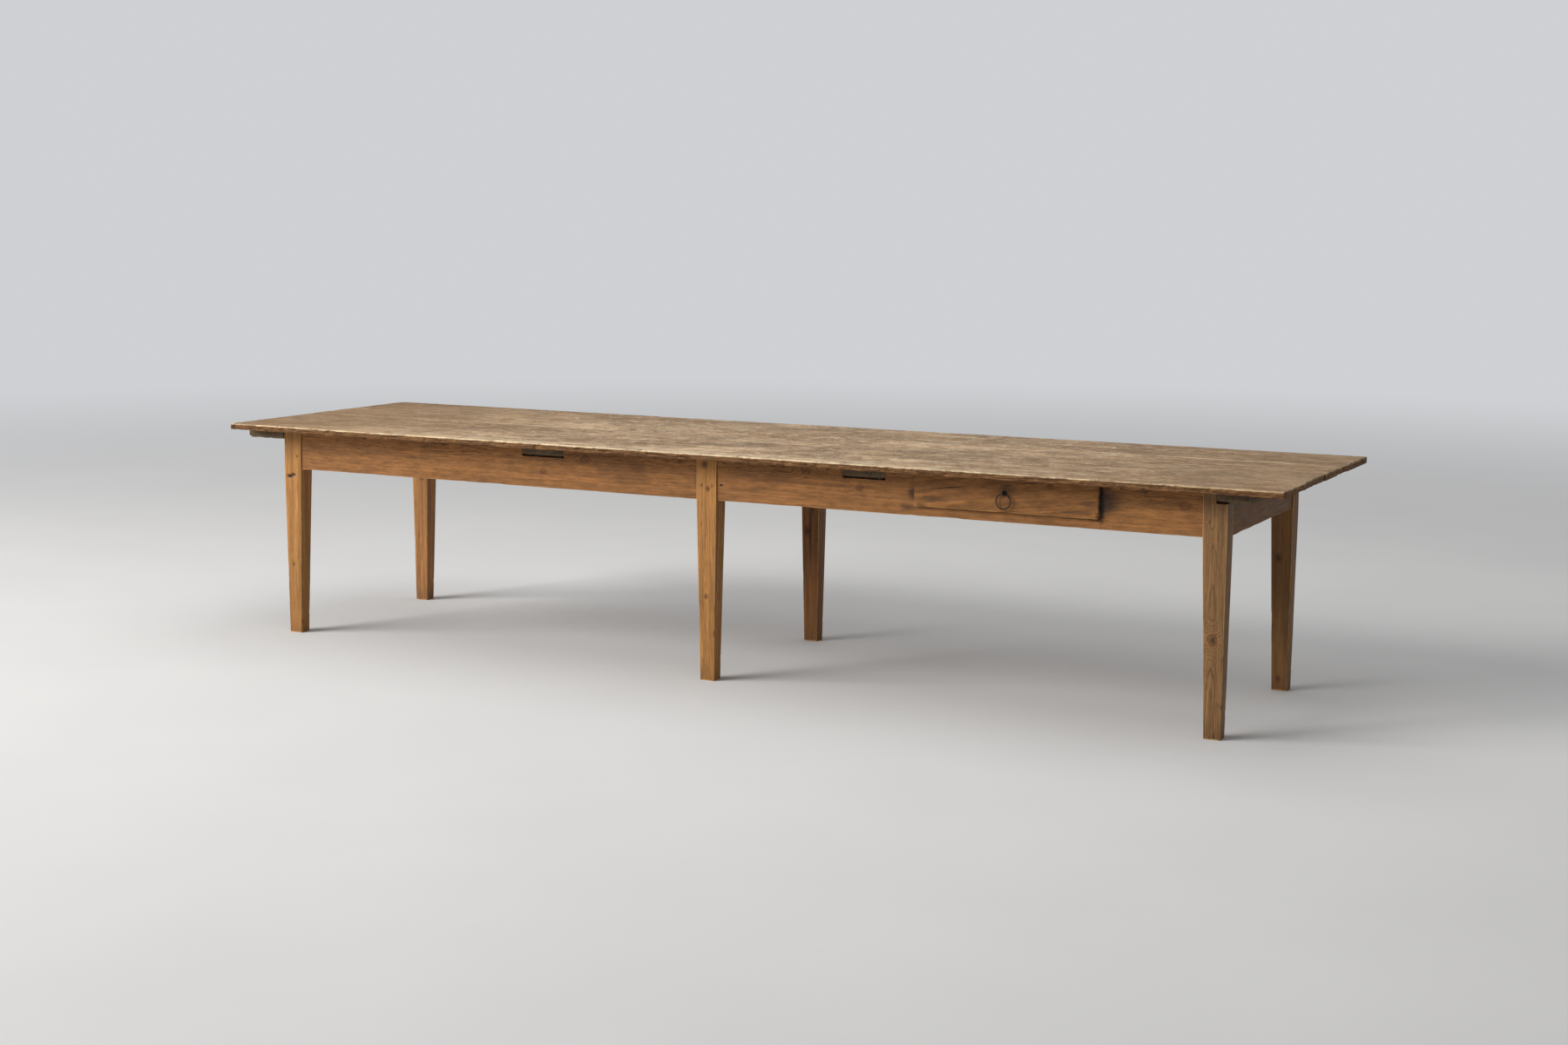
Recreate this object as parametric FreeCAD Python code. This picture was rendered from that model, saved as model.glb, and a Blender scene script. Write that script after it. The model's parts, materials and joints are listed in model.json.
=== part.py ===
import FreeCAD, Part
import math
import os

# Six-legged farmhouse table: a plank top on cross battens, tapered legs, pegged
# mortise-and-tenon rails and one dovetailed drawer with an iron ring pull.
# Millimetres. The origin is on the floor under the middle of the top. +X runs along
# the length, -Y is the drawer side, +Z is up.

# Top
top_length = 3930.0
top_width = 1050.0
top_thickness = 22.0
table_height = 780.0
front_board_width = 242.0
mid_front_board_width = 241.0
mid_back_board_width = 236.0
board_seam = 0.6
tongue_length = 8.0
tongue_thickness = 7.0
tongue_clearance = 0.4
top_arris_radius = 4.0

# Legs
left_overhang = 168.0
right_overhang = 199.0
side_overhang = 103.0
middle_leg_offset = -9.0
leg_width = 76.0
leg_depth = 67.0
foot_width = 54.0
foot_depth = 45.0
leg_arris = 2.5

# Rails and their joints
rail_height = 146.0
rail_thickness = 28.0
rail_setback = 6.0
rail_arris = 2.0
tenon_thickness = 12.0
tenon_length = 34.0
tenon_shoulder = 15.0
tenon_height = 80.0
tenon_clearance = 0.2
tenon_end_room = 1.0
peg_diameter = 11.0
peg_inset = 18.0
peg_rise = 49.0
peg_proud = 1.5
peg_beyond_tenon = 10.0
peg_clearance = 0.1

# Battens under the top
batten_thickness = 40.0
left_end_batten_width = 160.0
left_batten_width = 170.0
right_batten_width = 150.0
right_end_batten_width = 103.0
left_end_batten_inset = 3.0
left_batten_from_leg = 529.0
right_batten_from_drawer = 108.0
batten_bevel_height = 10.0
batten_bevel_length = 16.0
batten_end_setback = 1.0
notch_clearance = 1.0

# Cut nails
nail_shank = 3.0
nail_head_length = 6.5
nail_head_width = 4.5
nail_head_thickness = 1.5
nail_grip = 13.0
batten_nail_edge = 40.0
batten_nail_rail_space = 15.0

# Drawer
drawer_width = 613.0
drawer_from_right_leg = 325.0
drawer_depth = 520.0
drawer_sill_height = 31.0
drawer_front_thickness = 24.0
drawer_front_proud = 14.0
drawer_front_arris = 1.5
drawer_mouth_gap = 2.0
drawer_bottom_gap = 1.5
drawer_top_gap = 3.0
drawer_side_thickness = 14.0
drawer_side_drop = 8.0
drawer_back_thickness = 14.0
drawer_back_setback = 8.0
drawer_back_drop = 6.0
drawer_panel_thickness = 7.0
drawer_panel_rise = 9.0
panel_groove_depth = 6.0
panel_clearance = 0.3
tail_count = 3
tail_lap = 8.0
tail_root_height = 17.0
tail_slope = 1.0 / 6.0
tail_clearance = 0.1
drawer_nail_length = 30.0
panel_nail_count = 3

# Drawer runners and stops
runner_running_gap = 0.3
runner_side_play = 1.0
runner_guide_thickness = 24.0
runner_guide_rise = 42.0
runner_ledge_spare = 10.0
runner_lift = 4.0
runner_tenon_length = 12.0
runner_tenon_thickness = 12.0
runner_tenon_shoulder = 6.0
stop_length = 32.0
stop_height = 26.0

# Ring pull
ring_diameter = 52.0
ring_wire = 4.5
pull_rise = 61.0
eye_inner_radius = 4.0
eye_wire = 3.2
ring_play = 0.3
shank_width = 4.4
shank_hole_clearance = 0.2
clench_length = 16.0
rose_diameter = 18.0
rose_thickness = 2.0
rose_bevel = 1.0

# Levels and lines that the pieces share
half_length = top_length / 2
half_width = top_width / 2
underside = table_height - top_thickness
rail_bottom = underside - rail_height
batten_bottom = underside - batten_thickness
left_leg_x = leg_width / 2 + left_overhang - half_length
right_leg_x = half_length - right_overhang - leg_width / 2
leg_row_x = {"left": left_leg_x, "middle": middle_leg_offset, "right": right_leg_x}
leg_row_y = half_width - side_overhang - leg_depth / 2
leg_face_y = leg_row_y + leg_depth / 2
leg_inner_y = leg_row_y - leg_depth / 2
rail_face_y = leg_face_y - rail_setback
rail_inner_y = rail_face_y - rail_thickness
tenon_bottom = rail_bottom + tenon_shoulder
tenon_cheek = (rail_thickness - tenon_thickness) / 2
peg_z = rail_bottom + peg_rise
drawer_right = right_leg_x - leg_width / 2 - drawer_from_right_leg
drawer_left = drawer_right - drawer_width
drawer_mid_x = (drawer_left + drawer_right) / 2
sill_top = rail_bottom + drawer_sill_height
drawer_bottom_z = sill_top + drawer_bottom_gap
drawer_front_top = underside - drawer_top_gap
drawer_side_top = drawer_front_top - drawer_side_drop
drawer_face_y = -rail_face_y - drawer_front_proud
drawer_inner_y = drawer_face_y + drawer_front_thickness
drawer_end_y = drawer_inner_y + drawer_depth
panel_bottom_z = drawer_bottom_z + drawer_panel_rise
panel_top_z = panel_bottom_z + drawer_panel_thickness
pull_z = drawer_bottom_z + pull_rise

pieces = {}
X_AXIS = FreeCAD.Vector(1, 0, 0)
Y_AXIS = FreeCAD.Vector(0, 1, 0)
Z_AXIS = FreeCAD.Vector(0, 0, 1)


def block(x0, x1, y0, y1, z0, z1):
    """A box between two corners."""
    return Part.makeBox(x1 - x0, y1 - y0, z1 - z0, FreeCAD.Vector(x0, y0, z0))


def prism(points, along):
    """A flat outline pushed along a vector into a solid."""
    corners = [FreeCAD.Vector(*point) for point in points]
    outline = Part.makePolygon(corners + corners[:1])
    return Part.Face(outline).extrude(along)


def on_line(edge, x=None, y=None, z=None):
    """True where both ends of an edge lie on the given coordinates."""
    wanted = ((0, x), (1, y), (2, z))
    return all(
        value is None or abs(vertex.Point[axis] - value) < 1e-6
        for vertex in edge.Vertexes
        for axis, value in wanted
    )


def nail(head, direction, length):
    """A square cut nail with a flat head, driven from the head point along a direction."""
    shank = block(-nail_shank / 2, nail_shank / 2, -nail_shank / 2, nail_shank / 2, 0, length)
    cap = block(
        -nail_head_length / 2, nail_head_length / 2,
        -nail_head_width / 2, nail_head_width / 2,
        0, nail_head_thickness,
    )
    solid = shank.fuse(cap).removeSplitter()
    turn = FreeCAD.Rotation(Z_AXIS, direction)
    solid.Placement = FreeCAD.Placement(head, turn)
    return solid


# Battens: where each one lies along X, and how far its ends reach in Y

left_end_batten_x = left_end_batten_inset - half_length
left_batten_right = middle_leg_offset - leg_width / 2 - left_batten_from_leg
right_batten_right = drawer_left - right_batten_from_drawer
right_end_batten_x = right_leg_x + leg_width / 2 - rail_setback - rail_thickness
batten_spans = {
    "left_end": (left_end_batten_x, left_end_batten_x + left_end_batten_width),
    "left": (left_batten_right - left_batten_width, left_batten_right),
    "right": (right_batten_right - right_batten_width, right_batten_right),
    "right_end": (right_end_batten_x, right_end_batten_x + right_end_batten_width),
}
batten_reach = {
    "left_end": leg_face_y - batten_end_setback,
    "left": rail_face_y,
    "right": rail_face_y,
    "right_end": leg_face_y - batten_end_setback,
}


def batten(name):
    """A flat batten, its underside bevelled away at both ends."""
    x0, x1 = batten_spans[name]
    reach = batten_reach[name]
    outline = [
        (x0, -reach, underside),
        (x0, -reach, batten_bottom + batten_bevel_height),
        (x0, batten_bevel_length - reach, batten_bottom),
        (x0, reach - batten_bevel_length, batten_bottom),
        (x0, reach, batten_bottom + batten_bevel_height),
        (x0, reach, underside),
    ]
    return prism(outline, X_AXIS * (x1 - x0))


def batten_notch(name):
    """The space that a batten takes from the rails and legs under it."""
    x0, x1 = batten_spans[name]
    return block(
        x0 - notch_clearance, x1 + notch_clearance,
        -half_width, half_width, batten_bottom, table_height,
    )


# Top boards: tongued on the back edge, grooved on the front edge

board_edges = [-half_width]
for width in (front_board_width, mid_front_board_width, mid_back_board_width):
    board_edges.append(board_edges[-1] + width)
board_edges.append(half_width)
board_names = ["front", "mid_front", "mid_back", "back"]


def top_board(index):
    """One plank of the top, with the worn round on its outer arrises."""
    first = index == 0
    last = index == len(board_names) - 1
    y0 = board_edges[index] + (0 if first else board_seam / 2)
    y1 = board_edges[index + 1] - (0 if last else board_seam / 2)
    tongue_low = underside + (top_thickness - tongue_thickness) / 2
    tongue_high = tongue_low + tongue_thickness
    groove_end = y0 + tongue_length
    outline = [(y0, underside), (y1, underside)]
    if not last:
        tongue_end = y1 + tongue_length - tongue_clearance
        outline += [(y1, tongue_low), (tongue_end, tongue_low)]
        outline += [(tongue_end, tongue_high), (y1, tongue_high)]
    outline += [(y1, table_height), (y0, table_height)]
    if not first:
        outline += [(y0, tongue_high + tongue_clearance), (groove_end, tongue_high + tongue_clearance)]
        outline += [(groove_end, tongue_low - tongue_clearance), (y0, tongue_low - tongue_clearance)]
    board = prism([(-half_length, y, z) for y, z in outline], X_AXIS * top_length)
    worn = [
        edge for edge in board.Edges
        if on_line(edge, x=-half_length, z=table_height)
        or on_line(edge, x=half_length, z=table_height)
        or (first and on_line(edge, y=-half_width, z=table_height))
        or (last and on_line(edge, y=half_width, z=table_height))
    ]
    return board.makeFillet(top_arris_radius, worn)


def batten_nail_places(name):
    """Two nails from each batten into each board, in a zigzag, clear of the rails."""
    x0, x1 = batten_spans[name]
    lines = (x0 + batten_nail_edge, x1 - batten_nail_edge)
    limit = rail_inner_y - batten_nail_rail_space
    places = []
    for low, high in zip(board_edges, board_edges[1:]):
        span_low = max(low, -limit)
        span_high = min(high, limit)
        for step, x in enumerate(lines):
            y = span_low + (span_high - span_low) * (1 + 2 * step) / 4
            places.append(FreeCAD.Vector(x, y, batten_bottom))
    return places


# Rails: each one is a beam between two legs with a tenon at either end

def rail_section(along_x, side, start, bottom, top):
    """The rail's end outline, with its two lower arrises worn off."""
    far = side + rail_thickness
    profile = [
        (side, bottom + rail_arris), (side + rail_arris, bottom),
        (far - rail_arris, bottom), (far, bottom + rail_arris),
        (far, top), (side, top),
    ]
    if along_x:
        return [(start, across, z) for across, z in profile]
    return [(across, start, z) for across, z in profile]


def tenon_bar(along_x, side, start, end, room, fit):
    """The bar that makes both tenons of a rail, or with room and fit, their mortises."""
    reach = tenon_length + room
    low = side + tenon_cheek - fit
    high = side + tenon_cheek + tenon_thickness + fit
    levels = (tenon_bottom - fit, tenon_bottom + tenon_height + fit)
    if along_x:
        return block(start - reach, end + reach, low, high, *levels)
    return block(low, high, start - reach, end + reach, *levels)


def rail(along_x, side, start, end, top):
    """A rail with its tenons."""
    direction = X_AXIS if along_x else Y_AXIS
    beam = prism(rail_section(along_x, side, start, rail_bottom, top), direction * (end - start))
    return beam.fuse(tenon_bar(along_x, side, start, end, 0, 0)).removeSplitter()


bays = {"left": ("left", "middle"), "right": ("middle", "right")}
end_rail_sides = {
    "end_left": left_leg_x - leg_width / 2 + rail_setback,
    "middle": middle_leg_offset - rail_thickness / 2,
    "end_right": right_end_batten_x,
}
end_rail_tops = {"end_left": underside, "middle": underside, "end_right": batten_bottom}
rail_places = {}
for row, side in (("front", -rail_face_y), ("back", rail_inner_y)):
    for bay, (from_leg, to_leg) in bays.items():
        start = leg_row_x[from_leg] + leg_width / 2
        end = leg_row_x[to_leg] - leg_width / 2
        rail_places[f"{row}_{bay}"] = (True, side, start, end, underside)
for name, side in end_rail_sides.items():
    rail_places[name] = (False, side, -leg_inner_y, leg_inner_y, end_rail_tops[name])


# Pegs: one through each tenon, from the face of the leg that shows

peg_radius = peg_diameter / 2
WHITTLED_SIDES = 8


def peg_places():
    """The face point, the driving direction and the depth of every peg."""
    places = []
    side_depth = rail_setback + tenon_cheek + tenon_thickness + peg_beyond_tenon
    middle_depth = leg_width / 2 + tenon_thickness / 2 + peg_beyond_tenon
    for name, (along_x, side, start, end, top) in rail_places.items():
        if along_x:
            inward = 1 if side < 0 else -1
            for x in (start - peg_inset, end + peg_inset):
                face = FreeCAD.Vector(x, -inward * leg_face_y, peg_z)
                places.append((face, Y_AXIS * inward, side_depth))
            continue
        depth = middle_depth if name == "middle" else side_depth
        leg_x = {"end_left": left_leg_x, "middle": middle_leg_offset, "end_right": right_leg_x}[name]
        inward = 1 if name == "end_left" else -1
        for y in (start - peg_inset, end + peg_inset):
            face = FreeCAD.Vector(leg_x - inward * leg_width / 2, y, peg_z)
            places.append((face, X_AXIS * inward, depth))
    return places


def whittled_outline(radius, height):
    """An eight-sided outline round the Z axis, as a closed wire."""
    corners = []
    for side in range(WHITTLED_SIDES):
        angle = 2 * math.pi * (side + 0.5) / WHITTLED_SIDES
        corners.append(FreeCAD.Vector(radius * math.cos(angle), radius * math.sin(angle), height))
    return Part.makePolygon(corners + corners[:1])


def whittled(face, inward, levels):
    """An eight-sided bar through the given radii and depths, driven in at a face point."""
    outlines = [whittled_outline(radius, depth) for radius, depth in levels]
    bar = Part.makeLoft(outlines, True, True)
    bar.Placement = FreeCAD.Placement(face, FreeCAD.Rotation(Z_AXIS, inward))
    return bar


def peg(face, inward, depth):
    """A whittled peg whose pared end stands a little proud of the leg."""
    pared_radius = peg_radius - peg_proud
    return whittled(face, inward, [(pared_radius, -peg_proud), (peg_radius, 0), (peg_radius, depth)])


def peg_hole(face, inward, depth):
    """The blind hole for one peg."""
    hole_radius = peg_radius + peg_clearance
    return whittled(face, inward, [(hole_radius, -peg_proud), (hole_radius, depth)])


# Legs: square where the rails join, tapered on all four faces below them

def leg_outline(x, y, width, depth, z):
    """A rectangle with its corners taken off, as a closed wire."""
    corners = []
    for x_side, y_side, x_first in ((-1, -1, True), (1, -1, False), (1, 1, True), (-1, 1, False)):
        on_x_face = FreeCAD.Vector(x + x_side * width / 2, y + y_side * (depth / 2 - leg_arris), z)
        on_y_face = FreeCAD.Vector(x + x_side * (width / 2 - leg_arris), y + y_side * depth / 2, z)
        corners += [on_x_face, on_y_face] if x_first else [on_y_face, on_x_face]
    return Part.makePolygon(corners + corners[:1])


def leg(x, y):
    """One leg before its joints are cut."""
    sections = [
        leg_outline(x, y, foot_width, foot_depth, 0),
        leg_outline(x, y, leg_width, leg_depth, rail_bottom),
        leg_outline(x, y, leg_width, leg_depth, underside),
    ]
    return Part.makeLoft(sections, True, True)


# Drawer: dovetailed front, grooved sides, a loose bottom panel and a nailed back

tail_height = (drawer_side_top - drawer_bottom_z) / tail_count
tail_length = drawer_front_thickness - tail_lap


def tails(x0, fit):
    """The dovetails of one drawer side, or with a fit, the sockets for them."""
    flare = tail_length * tail_slope
    solids = []
    for index in range(tail_count):
        middle = drawer_bottom_z + tail_height * (index + 0.5)
        root = tail_root_height / 2 + fit
        tip = root + flare
        outline = [
            (x0 - fit, drawer_inner_y, middle - root),
            (x0 - fit, drawer_inner_y - tail_length - fit, middle - tip),
            (x0 - fit, drawer_inner_y - tail_length - fit, middle + tip),
            (x0 - fit, drawer_inner_y, middle + root),
        ]
        solids.append(prism(outline, X_AXIS * (drawer_side_thickness + 2 * fit)))
    return solids


drawer_side_x = {"left": drawer_left, "right": drawer_right - drawer_side_thickness}
box_left = drawer_left + drawer_side_thickness
box_right = drawer_right - drawer_side_thickness
back_y1 = drawer_end_y - drawer_back_setback
back_y0 = back_y1 - drawer_back_thickness


def panel_groove(x0, x1, y0, y1):
    """A groove for the edge of the drawer's bottom panel."""
    return block(x0, x1, y0, y1, panel_bottom_z - panel_clearance, panel_top_z + panel_clearance)


def drawer_front():
    """The drawer's front board with its dovetail sockets, panel groove and pull hole."""
    arris = drawer_front_arris
    outline = [
        (drawer_left, drawer_face_y + arris, drawer_bottom_z),
        (drawer_left, drawer_face_y, drawer_bottom_z + arris),
        (drawer_left, drawer_face_y, drawer_front_top - arris),
        (drawer_left, drawer_face_y + arris, drawer_front_top),
        (drawer_left, drawer_inner_y, drawer_front_top),
        (drawer_left, drawer_inner_y, drawer_bottom_z),
    ]
    board = prism(outline, X_AXIS * drawer_width)
    cutters = [
        panel_groove(box_left, box_right, drawer_inner_y - panel_groove_depth, drawer_inner_y),
        Part.makeCylinder(
            shank_hole_radius, drawer_front_thickness,
            FreeCAD.Vector(drawer_mid_x, drawer_face_y, pull_z), Y_AXIS,
        ),
    ]
    for x0 in drawer_side_x.values():
        cutters += tails(x0, tail_clearance)
    return board.cut(cutters)


def drawer_side(hand):
    """A drawer side with its tails and the groove along its inner face."""
    x0 = drawer_side_x[hand]
    x1 = x0 + drawer_side_thickness
    board = block(x0, x1, drawer_inner_y, drawer_end_y, drawer_bottom_z, drawer_side_top)
    board = board.fuse(tails(x0, 0)).removeSplitter()
    if hand == "left":
        return board.cut(panel_groove(x1 - panel_groove_depth, x1, drawer_inner_y, drawer_end_y))
    return board.cut(panel_groove(x0, x0 + panel_groove_depth, drawer_inner_y, drawer_end_y))


def drawer_panel():
    """The bottom panel: its edges lie in the side and front grooves, and it runs under the back."""
    in_groove = panel_groove_depth - panel_clearance
    sheet = block(
        box_left - in_groove, box_right + in_groove,
        drawer_inner_y + panel_clearance, back_y1, panel_bottom_z, panel_top_z,
    )
    lip = block(
        box_left + panel_clearance, box_right - panel_clearance,
        drawer_inner_y - in_groove, drawer_inner_y + panel_groove_depth, panel_bottom_z, panel_top_z,
    )
    return sheet.fuse(lip).removeSplitter()


def drawer_back():
    """The back board, housed between the sides above the panel."""
    return block(box_left, box_right, back_y0, back_y1, panel_top_z, drawer_side_top - drawer_back_drop)


def drawer_nails():
    """Nails through the sides into the back, and up through the panel into it."""
    back_mid_y = (back_y0 + back_y1) / 2
    back_top = drawer_side_top - drawer_back_drop
    nails = []
    for part in (1, 3):
        z = panel_top_z + (back_top - panel_top_z) * part / 4
        nails.append(nail(FreeCAD.Vector(drawer_left, back_mid_y, z), X_AXIS, drawer_nail_length))
        nails.append(nail(FreeCAD.Vector(drawer_right, back_mid_y, z), X_AXIS * -1, drawer_nail_length))
    for index in range(panel_nail_count):
        x = box_left + (box_right - box_left) * (index + 0.5) / panel_nail_count
        nails.append(nail(FreeCAD.Vector(x, back_mid_y, panel_bottom_z), Z_AXIS, drawer_nail_length))
    return nails


# Runners: a ledge under the drawer side and a guide beside it, stub-tenoned into the rails

ledge_top = drawer_bottom_z - runner_running_gap
ledge_bottom = rail_bottom + runner_lift
ledge_width = runner_side_play + drawer_side_thickness + runner_ledge_spare
guide_top = sill_top + runner_guide_rise


def runner_frame(hand):
    """The runner's outer face, its guide face and its ledge's free edge, along X."""
    if hand == "left":
        guide_face = drawer_left - runner_side_play
        return guide_face - runner_guide_thickness, guide_face, guide_face + ledge_width
    guide_face = drawer_right + runner_side_play
    return guide_face + runner_guide_thickness, guide_face, guide_face - ledge_width


def runner_stubs(hand, fit):
    """The bar that makes both stub tenons of a runner, or with a fit, their mortises."""
    outer, _, free = runner_frame(hand)
    low = min(outer, free) + runner_tenon_shoulder - fit
    high = max(outer, free) - runner_tenon_shoulder + fit
    middle = (ledge_top + ledge_bottom) / 2
    half = runner_tenon_thickness / 2 + fit
    reach = rail_inner_y + runner_tenon_length + fit
    return block(low, high, -reach, reach, middle - half, middle + half)


def runner(hand):
    """One drawer runner, rebated from the solid."""
    outer, guide_face, free = runner_frame(hand)
    section = [
        (outer, -rail_inner_y, ledge_bottom), (free, -rail_inner_y, ledge_bottom),
        (free, -rail_inner_y, ledge_top), (guide_face, -rail_inner_y, ledge_top),
        (guide_face, -rail_inner_y, guide_top), (outer, -rail_inner_y, guide_top),
    ]
    beam = prism(section, Y_AXIS * (2 * rail_inner_y))
    return beam.fuse(runner_stubs(hand, 0)).removeSplitter()


def drawer_stop(hand):
    """The block on a runner's ledge that the drawer side closes against."""
    _, guide_face, free = runner_frame(hand)
    y0 = drawer_end_y + runner_running_gap
    return block(
        min(guide_face, free), max(guide_face, free),
        y0, y0 + stop_length, ledge_top, ledge_top + stop_height,
    )


# Ring pull: a forged ring hanging in the eye of a split pin that is clenched in the drawer

eye_ring_radius = eye_inner_radius + eye_wire / 2
eye_y = drawer_face_y - rose_thickness - eye_inner_radius - eye_wire
ring_wire_radius = ring_wire / 2
ring_radius = ring_diameter / 2 - ring_wire_radius
pivot_z = pull_z - (eye_inner_radius - ring_wire_radius - ring_play)
shank_hole_radius = shank_width / 2 * math.sqrt(2) + shank_hole_clearance


def forged_ring(radius, wire_radius, middle, axis):
    """A ring of hammered bar, eight-sided in section."""
    section = Part.Face(whittled_outline(wire_radius, 0))
    section.rotate(FreeCAD.Vector(0, 0, 0), X_AXIS, 90)
    section.translate(X_AXIS * radius)
    ring = section.revolve(FreeCAD.Vector(0, 0, 0), Z_AXIS, 360)
    ring.Placement = FreeCAD.Placement(middle, FreeCAD.Rotation(Z_AXIS, axis))
    return ring


def pull_ring():
    """The ring, hanging flat before the drawer front."""
    middle = FreeCAD.Vector(drawer_mid_x, eye_y, pivot_z - ring_radius)
    return forged_ring(ring_radius, ring_wire_radius, middle, Y_AXIS)


def pull_staple():
    """The split pin: its eye, its shank through the front and its two clenched legs."""
    eye = forged_ring(
        eye_ring_radius, eye_wire / 2, FreeCAD.Vector(drawer_mid_x, eye_y, pull_z), X_AXIS
    )
    half = shank_width / 2
    bars = [block(
        drawer_mid_x - half, drawer_mid_x + half,
        eye_y + eye_ring_radius, drawer_inner_y + half, pull_z - half, pull_z + half,
    )]
    bars.append(block(
        drawer_mid_x - half, drawer_mid_x + half,
        drawer_inner_y, drawer_inner_y + half, pull_z - clench_length, pull_z + clench_length,
    ))
    return eye.fuse(bars).removeSplitter()


def pull_rose():
    """The small bevelled plate between the eye and the drawer front."""
    hole = shank_hole_radius
    rim = rose_diameter / 2
    outline = [
        (hole, 0, 0), (rim, 0, 0), (rim, -(rose_thickness - rose_bevel), 0),
        (rim - rose_bevel, -rose_thickness, 0), (hole, -rose_thickness, 0),
    ]
    corners = [FreeCAD.Vector(*point) for point in outline]
    face = Part.Face(Part.makePolygon(corners + corners[:1]))
    plate = face.revolve(FreeCAD.Vector(0, 0, 0), Y_AXIS, 360)
    plate.translate(FreeCAD.Vector(drawer_mid_x, drawer_face_y, pull_z))
    return plate


# Assembly: make every piece, then cut the joints from the same values

batten_nails = {
    name: [nail(place, Z_AXIS, batten_thickness + nail_grip) for place in batten_nail_places(name)]
    for name in batten_spans
}
all_batten_nails = [solid for nails in batten_nails.values() for solid in nails]
drawer_nail_solids = drawer_nails()
notches = [batten_notch(name) for name in batten_spans]
peg_holes = [peg_hole(*place) for place in peg_places()]
runner_mortises = [runner_stubs(hand, tenon_clearance) for hand in ("left", "right")]
drawer_mouth = block(
    drawer_left - drawer_mouth_gap, drawer_right + drawer_mouth_gap,
    -half_width, -rail_inner_y, sill_top, table_height,
)
mortises = [
    tenon_bar(along_x, side, start, end, tenon_end_room, tenon_clearance)
    for along_x, side, start, end, top in rail_places.values()
]

for index, name in enumerate(board_names):
    pieces[f"top_board_{name}"] = top_board(index).cut(all_batten_nails)
for name in batten_spans:
    pieces[f"batten_{name}"] = batten(name).cut(batten_nails[name])
pieces["batten_nails"] = Part.makeCompound(all_batten_nails)

for row, y in (("front", -leg_row_y), ("back", leg_row_y)):
    for place, x in leg_row_x.items():
        pieces[f"leg_{row}_{place}"] = leg(x, y).cut(mortises + peg_holes + notches)

for name, place in rail_places.items():
    cutters = peg_holes + notches + runner_mortises
    if name == "front_right":
        cutters = cutters + [drawer_mouth]
    pieces[f"rail_{name}"] = rail(*place).cut(cutters)
pieces["rail_pegs"] = Part.makeCompound([peg(*place) for place in peg_places()])

for hand in ("left", "right"):
    pieces[f"drawer_runner_{hand}"] = runner(hand)
    pieces[f"drawer_stop_{hand}"] = drawer_stop(hand)
    pieces[f"drawer_side_{hand}"] = drawer_side(hand).cut(drawer_nail_solids)
pieces["drawer_front"] = drawer_front()
pieces["drawer_back"] = drawer_back().cut(drawer_nail_solids)
pieces["drawer_bottom"] = drawer_panel().cut(drawer_nail_solids)
pieces["drawer_nails"] = Part.makeCompound(drawer_nail_solids)
pieces["pull_ring"] = pull_ring()
pieces["pull_staple"] = pull_staple()
pieces["pull_rose"] = pull_rose()

os.makedirs("parts", exist_ok=True)
for name, shape in pieces.items():
    shape.exportStep(f"parts/{name}.step")
    print(name, len(shape.Solids), "valid" if shape.isValid() else "BROKEN", round(shape.Volume))
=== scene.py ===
import json
import math

import bmesh
import bpy
from mathutils import Matrix, Vector

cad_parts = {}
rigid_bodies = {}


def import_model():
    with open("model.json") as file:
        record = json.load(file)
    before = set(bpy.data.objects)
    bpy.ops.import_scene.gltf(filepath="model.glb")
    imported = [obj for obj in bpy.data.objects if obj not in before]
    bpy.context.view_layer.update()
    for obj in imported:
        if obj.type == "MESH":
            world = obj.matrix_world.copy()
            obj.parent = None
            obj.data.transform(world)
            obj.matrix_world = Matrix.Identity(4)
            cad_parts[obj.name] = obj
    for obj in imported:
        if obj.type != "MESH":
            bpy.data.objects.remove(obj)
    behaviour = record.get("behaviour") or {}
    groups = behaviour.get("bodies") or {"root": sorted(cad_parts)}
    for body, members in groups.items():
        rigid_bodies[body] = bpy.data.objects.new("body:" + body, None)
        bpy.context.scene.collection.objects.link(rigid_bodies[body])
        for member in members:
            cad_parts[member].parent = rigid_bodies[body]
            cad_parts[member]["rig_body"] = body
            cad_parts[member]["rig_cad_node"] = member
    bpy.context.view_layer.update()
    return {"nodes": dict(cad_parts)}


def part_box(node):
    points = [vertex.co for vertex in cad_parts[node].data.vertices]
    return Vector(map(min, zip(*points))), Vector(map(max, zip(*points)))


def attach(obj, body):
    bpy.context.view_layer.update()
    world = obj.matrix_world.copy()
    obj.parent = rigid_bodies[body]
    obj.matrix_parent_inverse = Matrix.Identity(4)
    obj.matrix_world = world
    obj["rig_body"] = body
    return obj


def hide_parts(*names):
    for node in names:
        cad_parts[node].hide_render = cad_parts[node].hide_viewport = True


# Looks of a six-legged farmhouse table in old pine: a weathered plank top, honey-coloured
# rails and legs, dark battens and one drawer with an iron ring. Metres, Z up, drawer at -Y.

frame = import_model()
nodes = frame["nodes"]


# Modelling

def put_down():
    """Leaves edit mode and deselects everything."""
    if bpy.context.object and bpy.context.object.mode != "OBJECT":
        bpy.ops.object.mode_set(mode="OBJECT")
    bpy.ops.object.select_all(action="DESELECT")


def take_up(piece):
    """Selects one piece alone."""
    put_down()
    piece.select_set(True)
    bpy.context.view_layer.objects.active = piece


def open_up(piece):
    """Goes into edit mode on one piece with all of it selected."""
    take_up(piece)
    bpy.ops.object.mode_set(mode="EDIT")
    bpy.ops.mesh.select_all(action="SELECT")


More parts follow.
